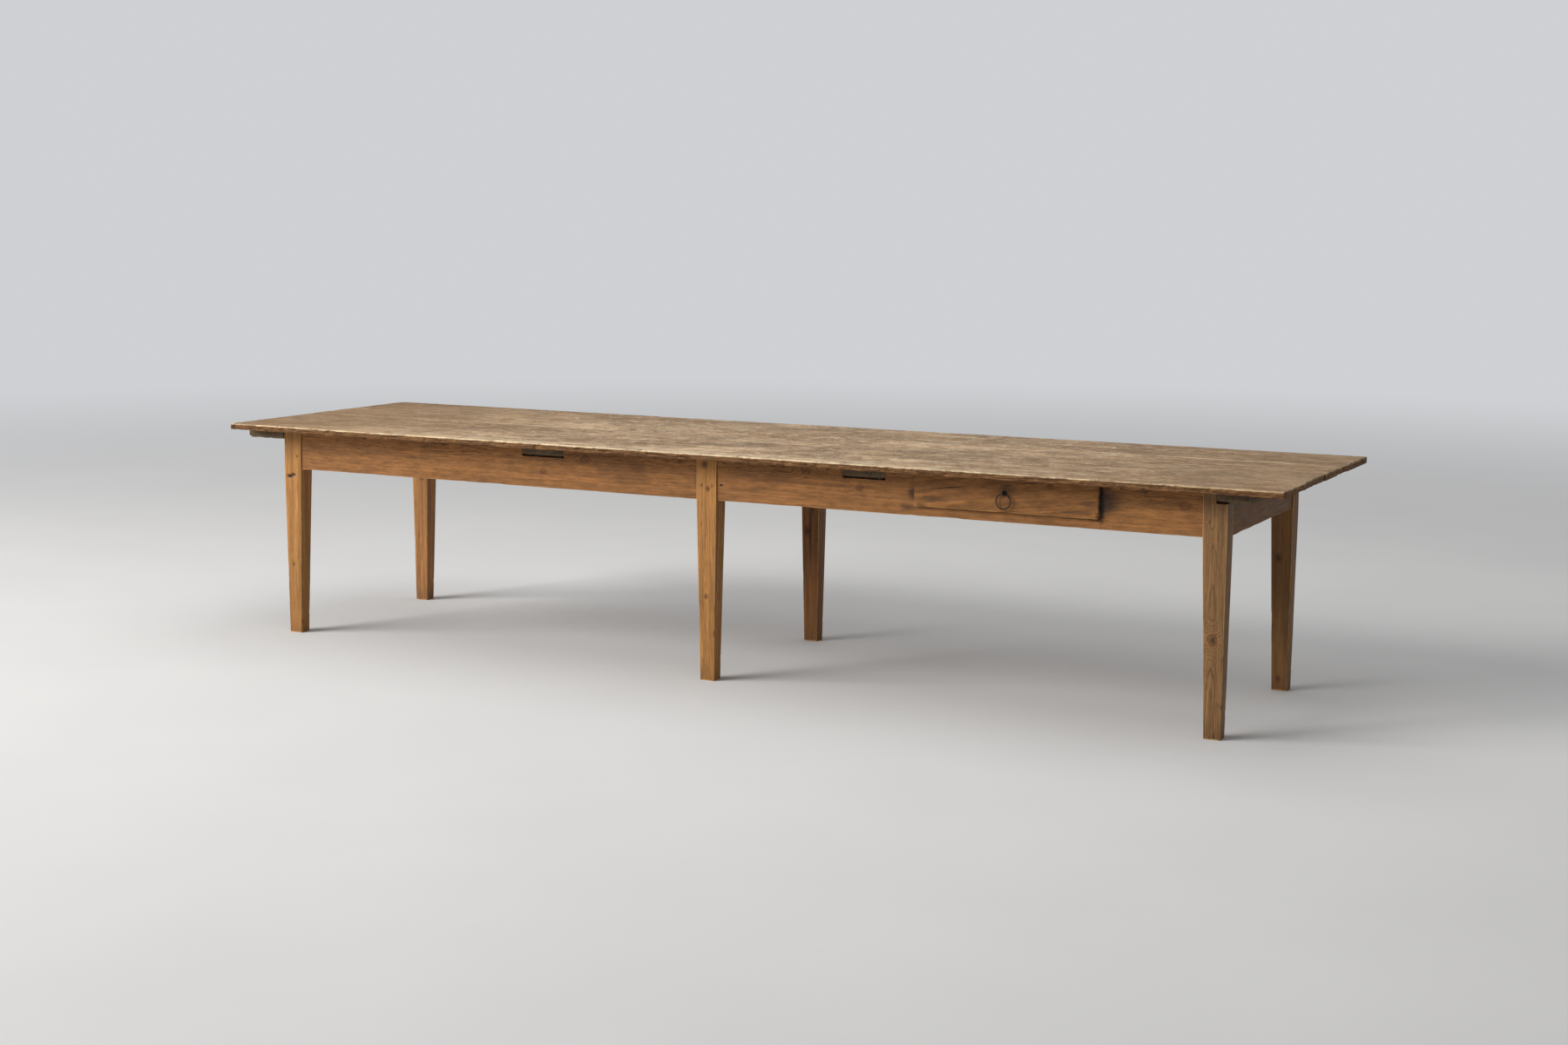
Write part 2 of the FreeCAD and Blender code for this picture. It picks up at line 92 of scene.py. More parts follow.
def pick(piece, kind, test):
    """In edit mode, selects the points, edges or faces that pass a test."""
    bpy.ops.mesh.select_mode(type=kind)
    bpy.ops.mesh.select_all(action="DESELECT")
    shape = bmesh.from_edit_mesh(piece.data)
    for part in {"VERT": shape.verts, "EDGE": shape.edges, "FACE": shape.faces}[kind]:
        if test(part):
            part.select_set(True)
    shape.select_flush_mode()
    bmesh.update_edit_mesh(piece.data)


def mid(part):
    """Middle of an edge."""
    return (part.verts[0].co + part.verts[1].co) / 2


def runs(edge, axis):
    """True for an edge that runs along an axis."""
    along = edge.verts[0].co - edge.verts[1].co
    return abs(along[axis]) > 0.9 * along.length


def sawn_block(name, low, high):
    """A block between two corners, with its place in its mesh."""
    put_down()
    bpy.ops.mesh.primitive_cube_add(size=1, location=(low + high) / 2)
    block = bpy.context.object
    block.name = name
    block.data.name = name
    block.scale = high - low
    bpy.ops.object.transform_apply(location=True, rotation=True, scale=True)
    return block


def solid_copy(node, name):
    """A copy of a CAD node with its own mesh, merged into one skin."""
    piece = nodes[node].copy()
    piece.data = nodes[node].data.copy()
    piece.name = name
    piece.data.name = name
    piece.parent = None
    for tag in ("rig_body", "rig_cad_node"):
        del piece[tag]
    bpy.context.scene.collection.objects.link(piece)
    open_up(piece)
    bpy.ops.mesh.remove_doubles(threshold=1e-5)
    put_down()
    return piece


def saw(piece, axis, places):
    """Cuts the whole skin across an axis at the given places, so that it can take wear."""
    across = Vector([float(i == axis) for i in range(3)])
    for place in places:
        bpy.ops.mesh.select_all(action="SELECT")
        bpy.ops.mesh.bisect(plane_co=across * place, plane_no=across)


def steps(low, high, length):
    """Even places between two ends, about a length apart."""
    count = max(2, round((high - low) / length))
    return [low + (high - low) * i / count for i in range(1, count)]


def rub(piece, label, depth, stretch, bite=None, weight=None, shift=(0, 0, 0), push=None):
    """Wears the skin inwards by up to a depth, in marks as long as stretch along each axis.

    bite keeps only the marks where the pattern is low. weight gives the share of the wear
    that a point takes, from its place. push names one axis to wear along, with its sign."""
    pattern = bpy.data.textures.new(label, "CLOUDS")
    pattern.noise_scale = 1.0
    pattern.noise_depth = 2
    if bite:
        pattern.use_color_ramp = True
        ends = pattern.color_ramp.elements
        ends[0].position, ends[1].position = bite
        ends[0].color, ends[1].color = (0, 0, 0, 1), (1, 1, 1, 1)
    guide = bpy.data.objects.new(label, None)
    guide.location, guide.scale = shift, stretch
    bpy.context.scene.collection.objects.link(guide)
    take_up(piece)
    bpy.context.view_layer.update()
    change = piece.modifiers.new(label, "DISPLACE")
    change.texture = pattern
    change.texture_coords = "OBJECT"
    change.texture_coords_object = guide
    change.mid_level = 1.0
    change.strength = depth
    if push:
        change.direction = push[1]
        change.strength = -depth if push[0] == "+" else depth
    if weight:
        shares = piece.vertex_groups.new(name=label)
        for point in piece.data.vertices:
            share = weight(point.co)
            if share > 0.01:
                shares.add([point.index], min(1.0, share), "REPLACE")
        change.vertex_group = label
    bpy.ops.object.modifier_apply(modifier=label)
    if weight:
        piece.vertex_groups.remove(piece.vertex_groups[label])
    bpy.data.objects.remove(guide)
    bpy.data.textures.remove(pattern)


def dent(piece, centre, reach, push):
    """Pushes the skin near a place, most at its middle and nothing at its reach."""
    hollow = piece.data
    for point in hollow.vertices:
        far = Vector([(point.co[i] - centre[i]) / reach[i] for i in range(3)]).length
        if far < 1:
            point.co += Vector(push) * (1 - far * far) ** 2
    hollow.update()


def stand_in(piece, node, body, finish):
    """The piece takes a CAD node's place, with its body, material slot and finish."""
    take_up(piece)
    bpy.ops.object.shade_smooth_by_angle(angle=math.radians(38))
    piece.data.materials.clear()
    piece.data.materials.append(finish)
    nodes[node].data.materials.clear()
    nodes[node].data.materials.append(finish)
    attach(piece, body)
    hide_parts(node)
    put_down()


# Node trees

def srgb(red, green, blue):
    """A colour as seen on screen, 0 to 255, made linear."""
    shares = [c / 255 for c in (red, green, blue)]
    return tuple(c / 12.92 if c <= 0.04045 else ((c + 0.055) / 1.055) ** 2.4 for c in shares) + (1.0,)


class Bench:
    """A node tree with short ways to add the few nodes that the finishes use."""

    def __init__(self, tree):
        self.tree = tree

    def add(self, kind, **settings):
        made = self.tree.nodes.new(kind)
        for key, value in settings.items():
            setattr(made, key, value)
        return made

    def feed(self, socket, value):
        if isinstance(value, bpy.types.NodeSocket):
            self.tree.links.new(value, socket)
        else:
            socket.default_value = value

    def math(self, operation, first, second=0.0, clamp=False):
        made = self.add("ShaderNodeMath", operation=operation, use_clamp=clamp)
        self.feed(made.inputs[0], first)
        self.feed(made.inputs[1], second)
        return made.outputs[0]

    def vector(self, operation, first, second=(0, 0, 0)):
        made = self.add("ShaderNodeVectorMath", operation=operation)
        self.feed(made.inputs[0], first)
        self.feed(made.inputs[1], second)
        return made.outputs["Value" if operation == "LENGTH" else "Vector"]

    def scaled(self, value, factor):
        made = self.add("ShaderNodeVectorMath", operation="SCALE")
        self.feed(made.inputs[0], value)
        self.feed(made.inputs["Scale"], factor)
        return made.outputs["Vector"]

    def place(self, value, move=(0, 0, 0), turn=(0, 0, 0), scale=(1, 1, 1)):
        made = self.add("ShaderNodeMapping")
        self.feed(made.inputs["Vector"], value)
        made.inputs["Location"].default_value = move
        made.inputs["Rotation"].default_value = turn
        made.inputs["Scale"].default_value = scale
        return made.outputs["Vector"]

    def noise(self, value, stretch=(1, 1, 1), move=(0, 0, 0), detail=2.0, rough=0.5, coloured=False):
        made = self.add("ShaderNodeTexNoise")
        self.feed(made.inputs["Vector"], self.place(value, move, (0, 0, 0), stretch))
        made.inputs["Scale"].default_value = 1.0
        made.inputs["Detail"].default_value = detail
        made.inputs["Roughness"].default_value = rough
        return made.outputs[1 if coloured else 0]

    def rise(self, value, low, high, bottom=0.0, top=1.0):
        """Goes smoothly from bottom to top as the value goes from low to high."""
        made = self.add("ShaderNodeMapRange", interpolation_type="SMOOTHSTEP")
        for socket, part in zip(made.inputs, (value, low, high, bottom, top)):
            self.feed(socket, part)
        return made.outputs[0]

    def split(self, value):
        made = self.add("ShaderNodeSeparateXYZ")
        self.feed(made.inputs[0], value)
        return made.outputs

    def join(self, x, y, z):
        made = self.add("ShaderNodeCombineXYZ")
        for socket, part in zip(made.inputs, (x, y, z)):
            self.feed(socket, part)
        return made.outputs[0]

    def blend(self, share, first, second, mode="MIX"):
        made = self.add("ShaderNodeMix", data_type="RGBA", blend_type=mode)
        self.feed(made.inputs[0], share)
        self.feed(made.inputs[6], first)
        self.feed(made.inputs[7], second)
        return made.outputs[2]

    def use(self, group, **values):
        made = self.add("ShaderNodeGroup", node_tree=group)
        for key, value in values.items():
            self.feed(made.inputs[key.replace("_", " ").title()], value)
        return made.outputs


class Effect(Bench):
    """A shader node group that several finishes share."""

    kinds = {"value": "NodeSocketFloat", "vector": "NodeSocketVector"}

    def __init__(self, name, gives, **takes):
        super().__init__(bpy.data.node_groups.new(name, "ShaderNodeTree"))
        face = self.tree.interface
        for key, default in takes.items():
            kind = "value" if isinstance(default, float) else "vector"
            label = key.replace("_", " ").title()
            made = face.new_socket(label, in_out="INPUT", socket_type=self.kinds[kind])
            made.default_value = default
        for label in gives:
            face.new_socket(label, in_out="OUTPUT", socket_type=self.kinds["value"])
        self.takes = self.add("NodeGroupInput").outputs
        self.gives = self.add("NodeGroupOutput").inputs


origin = (0.0, 0.0, 0.0)


def make_pine_rings():
    """Year rings about the X axis: pale early wood and a thin dark late line in each ring."""
    work = Effect("pine_rings", ["Figure", "Tone"], vector=origin, ring=0.004, waver=0.02, ripple=0.006,
                  pull=0.0, thin=0.4)
    at = work.takes["Vector"]
    half = (0.5, 0.5, 0.5)
    slow = work.vector("SUBTRACT", work.noise(at, (1.4, 6, 6), detail=2, coloured=True), half)
    quick = work.vector("SUBTRACT", work.noise(at, (12, 38, 38), (3, 1, 6), 2, coloured=True), half)
    waver = work.vector("ADD", work.scaled(slow, work.takes["Waver"]),
                        work.scaled(quick, work.takes["Ripple"]))
    bent = work.vector("MULTIPLY", work.vector("ADD", at, waver), (0, 1, 1))
    radius = work.math("ADD", work.vector("LENGTH", bent), work.takes["Pull"])
    jitter = work.math("MULTIPLY", work.noise(at, (26, 420, 420), (4, 8, 2), 2), 0.55)
    count = work.math("ADD", work.math("DIVIDE", radius, work.takes["Ring"]), jitter)
    part = work.math("FRACT", count)
    chance = work.add("ShaderNodeTexWhiteNoise", noise_dimensions="1D")
    work.feed(chance.inputs["W"], work.math("FLOOR", count))
    late = work.math("MULTIPLY", work.rise(part, work.takes["Thin"], 0.88),
                     work.rise(part, 0.90, 1.0, 1.0, 0.0))
    own = work.rise(chance.outputs[0], 0.0, 1.0, 0.4, 1.0)
    work.feed(work.gives["Figure"], work.math("MULTIPLY", late, own))
    work.feed(work.gives["Tone"], chance.outputs[0])
    return work.tree


def make_fibres():
    """Streaks along the X axis, broad, fine and hair-thin."""
    work = Effect("fibres", ["Broad", "Fine", "Hair"], vector=origin)
    at = work.takes["Vector"]
    work.feed(work.gives["Broad"], work.noise(at, (1.6, 55, 55), detail=3, rough=0.6))
    work.feed(work.gives["Fine"], work.noise(at, (7, 260, 260), (3, 7, 1), 3, 0.6))
    work.feed(work.gives["Hair"], work.noise(at, (30, 1100, 1100), (5, 2, 9), 2))
    return work.tree


def make_knot():
    """A knot: its dark heart, its rim, and how far it pulls the rings round it."""
    work = Effect("knot", ["Heart", "Rim", "Pull"], vector=origin, centre=origin, reach=(0.02, 0.02, 0.02))
    away = work.vector("DIVIDE", work.vector("SUBTRACT", work.takes["Vector"], work.takes["Centre"]),
                       work.takes["Reach"])
    ragged = work.math("MULTIPLY", work.noise(work.takes["Vector"], (90, 90, 90), detail=3), 0.35)
    far = work.math("ADD", work.vector("LENGTH", away), ragged)
    work.feed(work.gives["Heart"], work.rise(far, 0.45, 0.95, 1.0, 0.0))
    rim = work.math("MULTIPLY", work.rise(far, 0.6, 0.95), work.rise(far, 1.0, 1.5, 1.0, 0.0))
    work.feed(work.gives["Rim"], rim)
    spread = work.math("POWER", 2.0, work.math("MULTIPLY", work.math("POWER", far, 2.0), -0.28))
    work.feed(work.gives["Pull"], spread)
    return work.tree


def make_edge_wear():
    """Rubbed edges of a box between two corners, broken up along their length."""
    work = Effect("edge_wear", ["Wear"], vector=origin, low=origin, high=(1.0, 1.0, 1.0), reach=0.006)
    at = work.takes["Vector"]
    inside = work.vector("MINIMUM", work.vector("SUBTRACT", at, work.takes["Low"]),
                         work.vector("SUBTRACT", work.takes["High"], at))
    x, y, z = work.split(inside)
    least = work.math("MINIMUM", x, y)
    most = work.math("MAXIMUM", x, y)
    middle = work.math("MAXIMUM", least, work.math("MINIMUM", most, z))
    uneven = work.math("MULTIPLY", work.noise(at, (14, 14, 14), detail=4, rough=0.65), 2.2)
    reach = work.math("MULTIPLY", work.takes["Reach"], uneven)
    work.feed(work.gives["Wear"], work.rise(middle, work.math("MULTIPLY", reach, 0.25), reach, 1.0, 0.0))
    return work.tree


def make_cracks():
    """Drying cracks: thin dark lines along the X axis, here and there."""
    work = Effect("cracks", ["Crack"], vector=origin, width=0.012, share=0.5)
    at = work.takes["Vector"]
    line = work.math("ABSOLUTE", work.math("SUBTRACT", work.noise(at, (0.9, 28, 28), (2, 5, 3), 1.5), 0.5))
    thin = work.rise(line, work.math("MULTIPLY", work.takes["Width"], 0.3), work.takes["Width"], 1.0, 0.0)
    here = work.rise(work.noise(at, (1.3, 9, 9), (7, 1, 4), 2), work.takes["Share"],
                     work.math("ADD", work.takes["Share"], 0.08))
    work.feed(work.gives["Crack"], work.math("MULTIPLY", thin, here))
    return work.tree


def make_spot():
    """A soft-edged stain or mark round a place."""
    work = Effect("spot", ["Mark"], vector=origin, centre=origin, reach=(0.02, 0.02, 0.02), ragged=0.4)
    away = work.vector("DIVIDE", work.vector("SUBTRACT", work.takes["Vector"], work.takes["Centre"]),
                       work.takes["Reach"])
    rough = work.math("SUBTRACT", work.noise(work.takes["Vector"], (22, 130, 130), detail=4, rough=0.65), 0.5)
    far = work.math("ADD", work.vector("LENGTH", away), work.math("MULTIPLY", rough, work.takes["Ragged"]))
    work.feed(work.gives["Mark"], work.rise(far, 0.25, 1.0, 1.0, 0.0))
    return work.tree


def make_grime():
    """Old dirt: wide cloudy patches and small dark specks."""
    work = Effect("grime", ["Patch", "Speck"], vector=origin)
    at = work.takes["Vector"]
    work.feed(work.gives["Patch"], work.noise(at, (3.2, 7, 7), (1, 3, 2), 5, 0.62))
    specks = work.noise(at, (34, 240, 240), (4, 1, 8), 3, 0.62)
    work.feed(work.gives["Speck"], work.rise(specks, 0.62, 0.70))
    return work.tree


pine_rings = make_pine_rings()
fibres = make_fibres()
knot_mark = make_knot()
edge_wear = make_edge_wear()
cracks = make_cracks()
spot = make_spot()
grime = make_grime()

# How timber is turned for its grain: along the length, across the table or upright
along = (0.0, 0.0, 0.0)
across = (0.0, 0.0, -math.pi / 2)
upright = (0.0, math.pi / 2, 0.0)


class Finish(Bench):
    """A finish in layers: timber first, then what time has done to it."""

    def __init__(self, name):
        self.material = bpy.data.materials.new(name)
        self.material.use_nodes = True
        super().__init__(self.material.node_tree)
        self.tree.nodes.clear()
        self.shader = self.add("ShaderNodeBsdfPrincipled")
        ends = self.add("ShaderNodeOutputMaterial")
        self.tree.links.new(self.shader.outputs[0], ends.inputs["Surface"])
        self.at = self.add("ShaderNodeTexCoord").outputs["Object"]
        self.height = 0.0

    def timber(self, turn, pith, early, late, ring, waver, ripple, strength=1.0, knots=(), thin=0.4,
               streaks=1.0, knot_dark=0.85):
        """Pine with its rings about a pith line.

        strength is a number or a mask for the dark lines, thin how narrow they are, streaks how plain
        the fibres show, and knot_dark how dark the knots' hearts are."""
        self.grain = self.place(self.at, pith, turn)
        pull, heart, rim = 0.0, 0.0, 0.0
        for centre, reach in knots:
            mark = self.use(knot_mark, vector=self.at, centre=centre, reach=reach)
            size = min(reach)
            pull = self.math("ADD", pull, self.math("MULTIPLY", mark["Pull"], size * 1.1))
            heart = self.math("MAXIMUM", heart, mark["Heart"])
            rim = self.math("MAXIMUM", rim, mark["Rim"])
        rings = self.use(pine_rings, vector=self.grain, ring=ring, waver=waver, ripple=ripple, pull=pull,
                         thin=thin)
        thread = self.use(fibres, vector=self.grain)
        self.thread = thread
        figure = self.math("MULTIPLY", rings["Figure"], strength)
        self.figure = figure
        self.colour = self.blend(figure, early, late)
        self.shade(self.rise(rings["Tone"], 0.0, 1.0, 0.90, 1.06))
        self.shade(self.rise(thread["Broad"], 0.28, 0.72, 1 - 0.26 * streaks, 1 + 0.16 * streaks))
        self.shade(self.rise(thread["Fine"], 0.28, 0.72, 1 - 0.28 * streaks, 1 + 0.16 * streaks))
        self.shade(self.rise(thread["Hair"], 0.28, 0.72, 1 - 0.18 * streaks, 1 + 0.10 * streaks))
        self.height = self.math("MULTIPLY", figure, 0.35)
        self.raise_by(thread["Fine"], 0.5)
        self.raise_by(thread["Hair"], 0.25)
        if knots:
            self.lay(self.math("MULTIPLY", rim, 0.6), srgb(92, 54, 28))
            self.lay(self.math("MULTIPLY", heart, knot_dark), srgb(58, 34, 20))
            self.raise_by(heart, 0.5)

    def shade(self, amount):
        """Multiplies the colour by a grey."""
        grey = self.add("ShaderNodeCombineColor")
        for socket in grey.inputs:
            self.feed(socket, amount)
        self.colour = self.blend(1.0, self.colour, grey.outputs[0], "MULTIPLY")

    def lay(self, mask, colour):
        """Lays a colour over what is there where the mask is."""
        self.colour = self.blend(mask, self.colour, colour)

    def raise_by(self, mask, amount):
        """Lifts the surface where the mask is, or sinks it for a negative amount."""
        self.height = self.math("ADD", self.height, self.math("MULTIPLY", mask, amount))

    def scuff(self, amount):
        """Uneven handling marks along the grain, darker and paler by up to an amount."""
        marks = self.noise(self.grain, (16, 75, 75), (2, 7, 5), 7, 0.72)
        self.shade(self.rise(marks, 0.36, 0.64, 1 - amount, 1 + amount * 0.6))

    def crack(self, width, share, depth=1.5, colour=srgb(42, 27, 17)):
        """Drying cracks along the grain."""
        mark = self.use(cracks, vector=self.grain, width=width, share=share)["Crack"]
        self.lay(self.math("MULTIPLY", mark, 0.85), colour)
        self.raise_by(mark, -depth)

    def stain(self, centre, reach, colour, amount=0.8, ragged=0.4):
        """One mark round a place."""
        mark = self.use(spot, vector=self.at, centre=centre, reach=reach, ragged=ragged)["Mark"]
        self.lay(self.math("MULTIPLY", mark, amount), colour)

    def rubbed(self, low, high, reach, colour, amount=0.8, at=None):
        """Paler wood along the edges of a box."""
        mark = self.use(edge_wear, vector=at or self.at, low=tuple(low), high=tuple(high), reach=reach)
        self.lay(self.math("MULTIPLY", mark["Wear"], amount), colour)

    def dirt(self, colour, amount, low=0.5, high=0.75, specks=0.5):
        """Cloudy dirt with specks."""
        mark = self.use(grime, vector=self.grain)
        self.lay(self.math("MULTIPLY", self.rise(mark["Patch"], low, high), amount), colour)
        self.lay(self.math("MULTIPLY", mark["Speck"], specks), colour)

    def done(self, rough_low, rough_high, depth=0.0012, sheen=0.35):
        """Joins the layers to the shader."""
        self.feed(self.shader.inputs["Base Color"], self.colour)
        rough = self.rise(self.thread["Fine"], 0.3, 0.7, rough_low, rough_high)
        self.feed(self.shader.inputs["Roughness"], rough)
        self.shader.inputs["Specular IOR Level"].default_value = sheen
        bump = self.add("ShaderNodeBump")
        bump.inputs["Strength"].default_value = 0.7
        bump.inputs["Distance"].default_value = depth
        self.feed(bump.inputs["Height"], self.height)
        self.tree.links.new(bump.outputs[0], self.shader.inputs["Normal"])
        return self.material


# Sizes that the looks share, as in the solids
top_z = 0.78
half_top_width = 0.525
shoulder_z = 0.612
half_leg_width = 0.038
half_leg = Vector((half_leg_width, 0.0335, 0))
half_foot_width = 0.027
foot_share = (54 / 76, 45 / 67, 1)
back_seam_y = 0.194

# Colours of the old pine, some of them also used as painted shade, shadow and highlight
honey = srgb(176, 124, 66)
honey_late = srgb(92, 54, 25)
honey_worn = srgb(206, 160, 100)
amber = srgb(150, 102, 57)
amber_late = srgb(70, 39, 18)
# Amber darkened as painted shade, for the end rails
amber_painted_shade = srgb(116, 80, 46)
amber_worn = srgb(196, 148, 94)
# Soot black for stains, also laid as painted shadow beside the drawer's right end
soot_and_shadow = srgb(32, 27, 26)
umber = srgb(60, 38, 22)
top_mid = srgb(182, 154, 122)
top_brown = srgb(128, 98, 68)
top_dark = srgb(86, 62, 41)
top_ends = srgb(142, 110, 74)
top_pale = srgb(206, 184, 154)
# Bare worn wood, also the painted highlight on the top's front arris
top_bare_and_highlight = srgb(228, 204, 164)
edge_brown = srgb(132, 94, 58)
edge_dark = srgb(72, 48, 29)
under_pale = srgb(158, 122, 82)
under_dark = srgb(122, 90, 58)
under_late = srgb(92, 64, 38)
weathered = srgb(104, 87, 67)
# Pale grey of weathered wear, also the painted highlight on the battens' lower edge
weathered_pale_and_highlight = srgb(134, 110, 82)
raw_pine = srgb(180, 140, 94)
raw_late = srgb(134, 94, 56)


def top_finish(name, low, high, pith, marks, tone, stains_and_shadows):
    """Weathered top: greyed tan planks with streaks along the grain, worn seams, ends darkened partly as
    painted shade, and a bare front edge lit further by a painted highlight.
    """
    wood = Finish(name)
    knots = [((x, y, high.z), (r * 2.2, r, r)) for x, y, r in marks]
    wood.timber(along, pith, top_mid, top_brown, 0.0062, 0.03, 0.008, 0.6, knots, 0.5, 0.65)
    sway = wood.noise(wood.grain, (4, 12, 12), detail=4, coloured=True)
    drift = wood.vector("ADD", wood.grain, wood.scaled(sway, 0.05))
    cloud = wood.noise(drift, (1.6, 4, 4), (2, 9, 4), 6, 0.66)
    wood.lay(wood.rise(cloud, 0.34, 0.58, 0.6, 0.0), top_brown)
    wood.lay(wood.rise(cloud, 0.54, 0.70, 0.0, 0.35), top_pale)
    streak = wood.noise(drift, (13, 17, 17), (1, 6, 9), 9, 0.76)
    wood.lay(wood.rise(streak, 0.46, 0.64, 0.0, 0.65), top_brown)
    wood.lay(wood.rise(streak, 0.56, 0.70, 0.0, 0.6), top_dark)
    scrubbed = wood.noise(drift, (15, 21, 21), (5, 2, 4), 9, 0.76)
    wood.lay(wood.rise(scrubbed, 0.46, 0.64, 0.0, 0.7), top_pale)
    chips = wood.noise(wood.grain, (55, 85, 85), (8, 3, 6), 4, 0.68)
    wood.lay(wood.rise(chips, 0.58, 0.67, 0.0, 0.85), top_bare_and_highlight)
    wood.lay(wood.rise(chips, 0.32, 0.42, 0.75, 0.0), top_dark)
    wood.shade(wood.rise(wood.noise(wood.grain, (130, 300, 300), (1, 2, 3), 3, 0.7), 0.3, 0.7, 0.8, 1.2))
    worn = wood.noise(wood.at, (4.5, 6.5, 6.5), (5, 1, 2), 6, 0.62)
    wood.shade(wood.rise(worn, 0.36, 0.64, 0.80, 1.14))
    x, y, z = wood.split(wood.at)
    shore = wood.rise(wood.math("ADD", y, wood.math("MULTIPLY", streak, 0.2)), -0.42, -0.28, 0.75, 0.0)
    middle_part = wood.math("MULTIPLY", wood.rise(x, -1.7, -0.9), wood.rise(x, 0.5, 1.5, 1.0, 0.0))
    shore = wood.math("MULTIPLY", shore, middle_part)
    wood.lay(wood.math("MULTIPLY", shore, wood.rise(scrubbed, 0.36, 0.56)), top_pale)
    ends = wood.math("MAXIMUM", wood.rise(x, -1.95, -0.5, 0.6, 0.0), wood.rise(x, 0.8, 1.95, 0.0, 0.5))
    wood.lay(ends, top_ends)
    # Darker towards both ends: partly the planks' own tone, partly painted shade where the light falls off
    # towards the ends
    darker = wood.math("MULTIPLY", wood.rise(x, -1.95, -0.9, 0.90, 1.0), wood.rise(x, 0.9, 1.95, 1.0, 0.90))
    wood.shade(darker)
    wood.crack(0.007, 0.55)
    inwards = wood.math("MINIMUM", wood.math("SUBTRACT", y, low.y), wood.math("SUBTRACT", high.y, y))
    broken = wood.noise(wood.at, (22, 60, 60), (6, 2, 5), 6, 0.74)
    frayed = wood.rise(broken, 0.52, 0.62, 0.0, 0.7)
    wood.lay(wood.math("MULTIPLY", frayed, wood.rise(inwards, 0.003, 0.012, 1.0, 0.0)), top_bare_and_highlight)
    gap = wood.rise(inwards, 0.0012, 0.0032, 0.85, 0.0)
    wood.lay(gap, top_dark)
    wood.shade(wood.rise(wood.figure, 0.0, 0.55, 1.03, 0.80))
    wood.shade(wood.rise(wood.thread["Broad"], 0.3, 0.7, 0.88, 1.08))
    below = wood.rise(z, high.z - 0.0085, high.z - 0.0045, 1.0, 0.0)
    edge_x = wood.math("SUBTRACT", wood.math("ABSOLUTE", x), high.x - 0.012)
    edge_y = wood.math("SUBTRACT", wood.math("ABSOLUTE", y), half_top_width - 0.012)
    side = wood.math("MULTIPLY", below, wood.rise(wood.math("MAXIMUM", edge_x, edge_y), -0.008, 0.004))
    dry = wood.blend(wood.rise(cloud, 0.35, 0.65), under_dark, under_pale)
    wood.lay(below, wood.blend(wood.figure, dry, under_late))
    wood.shade(wood.rise(wood.thread["Fine"], 0.3, 0.7, 0.80, 1.14))
    torn = wood.noise(wood.at, (16, 60, 420), (2, 4, 1), 5, 0.7)
    wood.lay(side, wood.blend(wood.rise(torn, 0.40, 0.60), edge_dark, edge_brown))
    wood.raise_by(wood.math("MULTIPLY", torn, side), 2.0)
    # Pale front arris: bare worn wood, lightened further by a painted highlight, strongest along the front
    # edge and fading towards the back and the right end
    near = wood.add("ShaderNodeAttribute", attribute_name="brink").outputs["Fac"]
    rim = wood.rise(wood.math("ADD", near, broken), 1.0, 1.2)
    front = wood.math("MULTIPLY", wood.rise(y, -0.40, -0.50, 0.30, 0.68), wood.rise(x, 0.5, 1.5, 1.0, 0.5))
    patchy = wood.noise(wood.at, (9, 5, 5), (3, 3, 3), 6, 0.74)
    rim = wood.math("MULTIPLY", rim, wood.rise(patchy, 0.40, 0.56, 0.12, 1.0))
    rim = wood.math("MULTIPLY", rim, wood.rise(wood.thread["Fine"], 0.32, 0.55, 0.45, 1.0))
    wood.lay(wood.math("MULTIPLY", rim, front), top_bare_and_highlight)
    for centre, reach, colour, amount, ragged in stains_and_shadows:
        wood.stain(centre, reach, colour, amount, ragged)
    wood.shade(wood.rise(cloud, 0.3, 0.7, tone * 0.98, tone * 1.02))
    return wood.done(0.58, 0.8, 0.0016, 0.14)


def rail_finish(name, low, high, pith, knots=(), stains_and_shadows=(), end_rail=False, tone=amber):
    """Amber rail: dark rippling figure towards its top, plain and paler below."""
    wood = Finish(name)
    height = wood.split(wood.at)[2]
    wander = wood.math("MULTIPLY", wood.noise(wood.at, (2.4, 2, 2), detail=3), 0.06)
    upper = wood.rise(wood.math("ADD", height, wander), 0.708, 0.742, 0.12, 0.85)
    turn = across if end_rail else along
    wood.timber(turn, pith, tone, amber_late, 0.0056, 0.024, 0.014, upper, knots, 0.70, 0.7, 0.4)
    wood.scuff(0.24)
    wood.dirt(umber, 0.3, 0.5, 0.72, 0.5)
    wood.crack(0.005, 0.56)
    for centre, reach, colour, amount in stains_and_shadows:
        wood.stain(centre, reach, colour, amount, 0.9)
    wood.rubbed(low, high, 0.0032, amber_worn, 0.75)
    return wood.done(0.5, 0.7, 0.0012, 0.2)


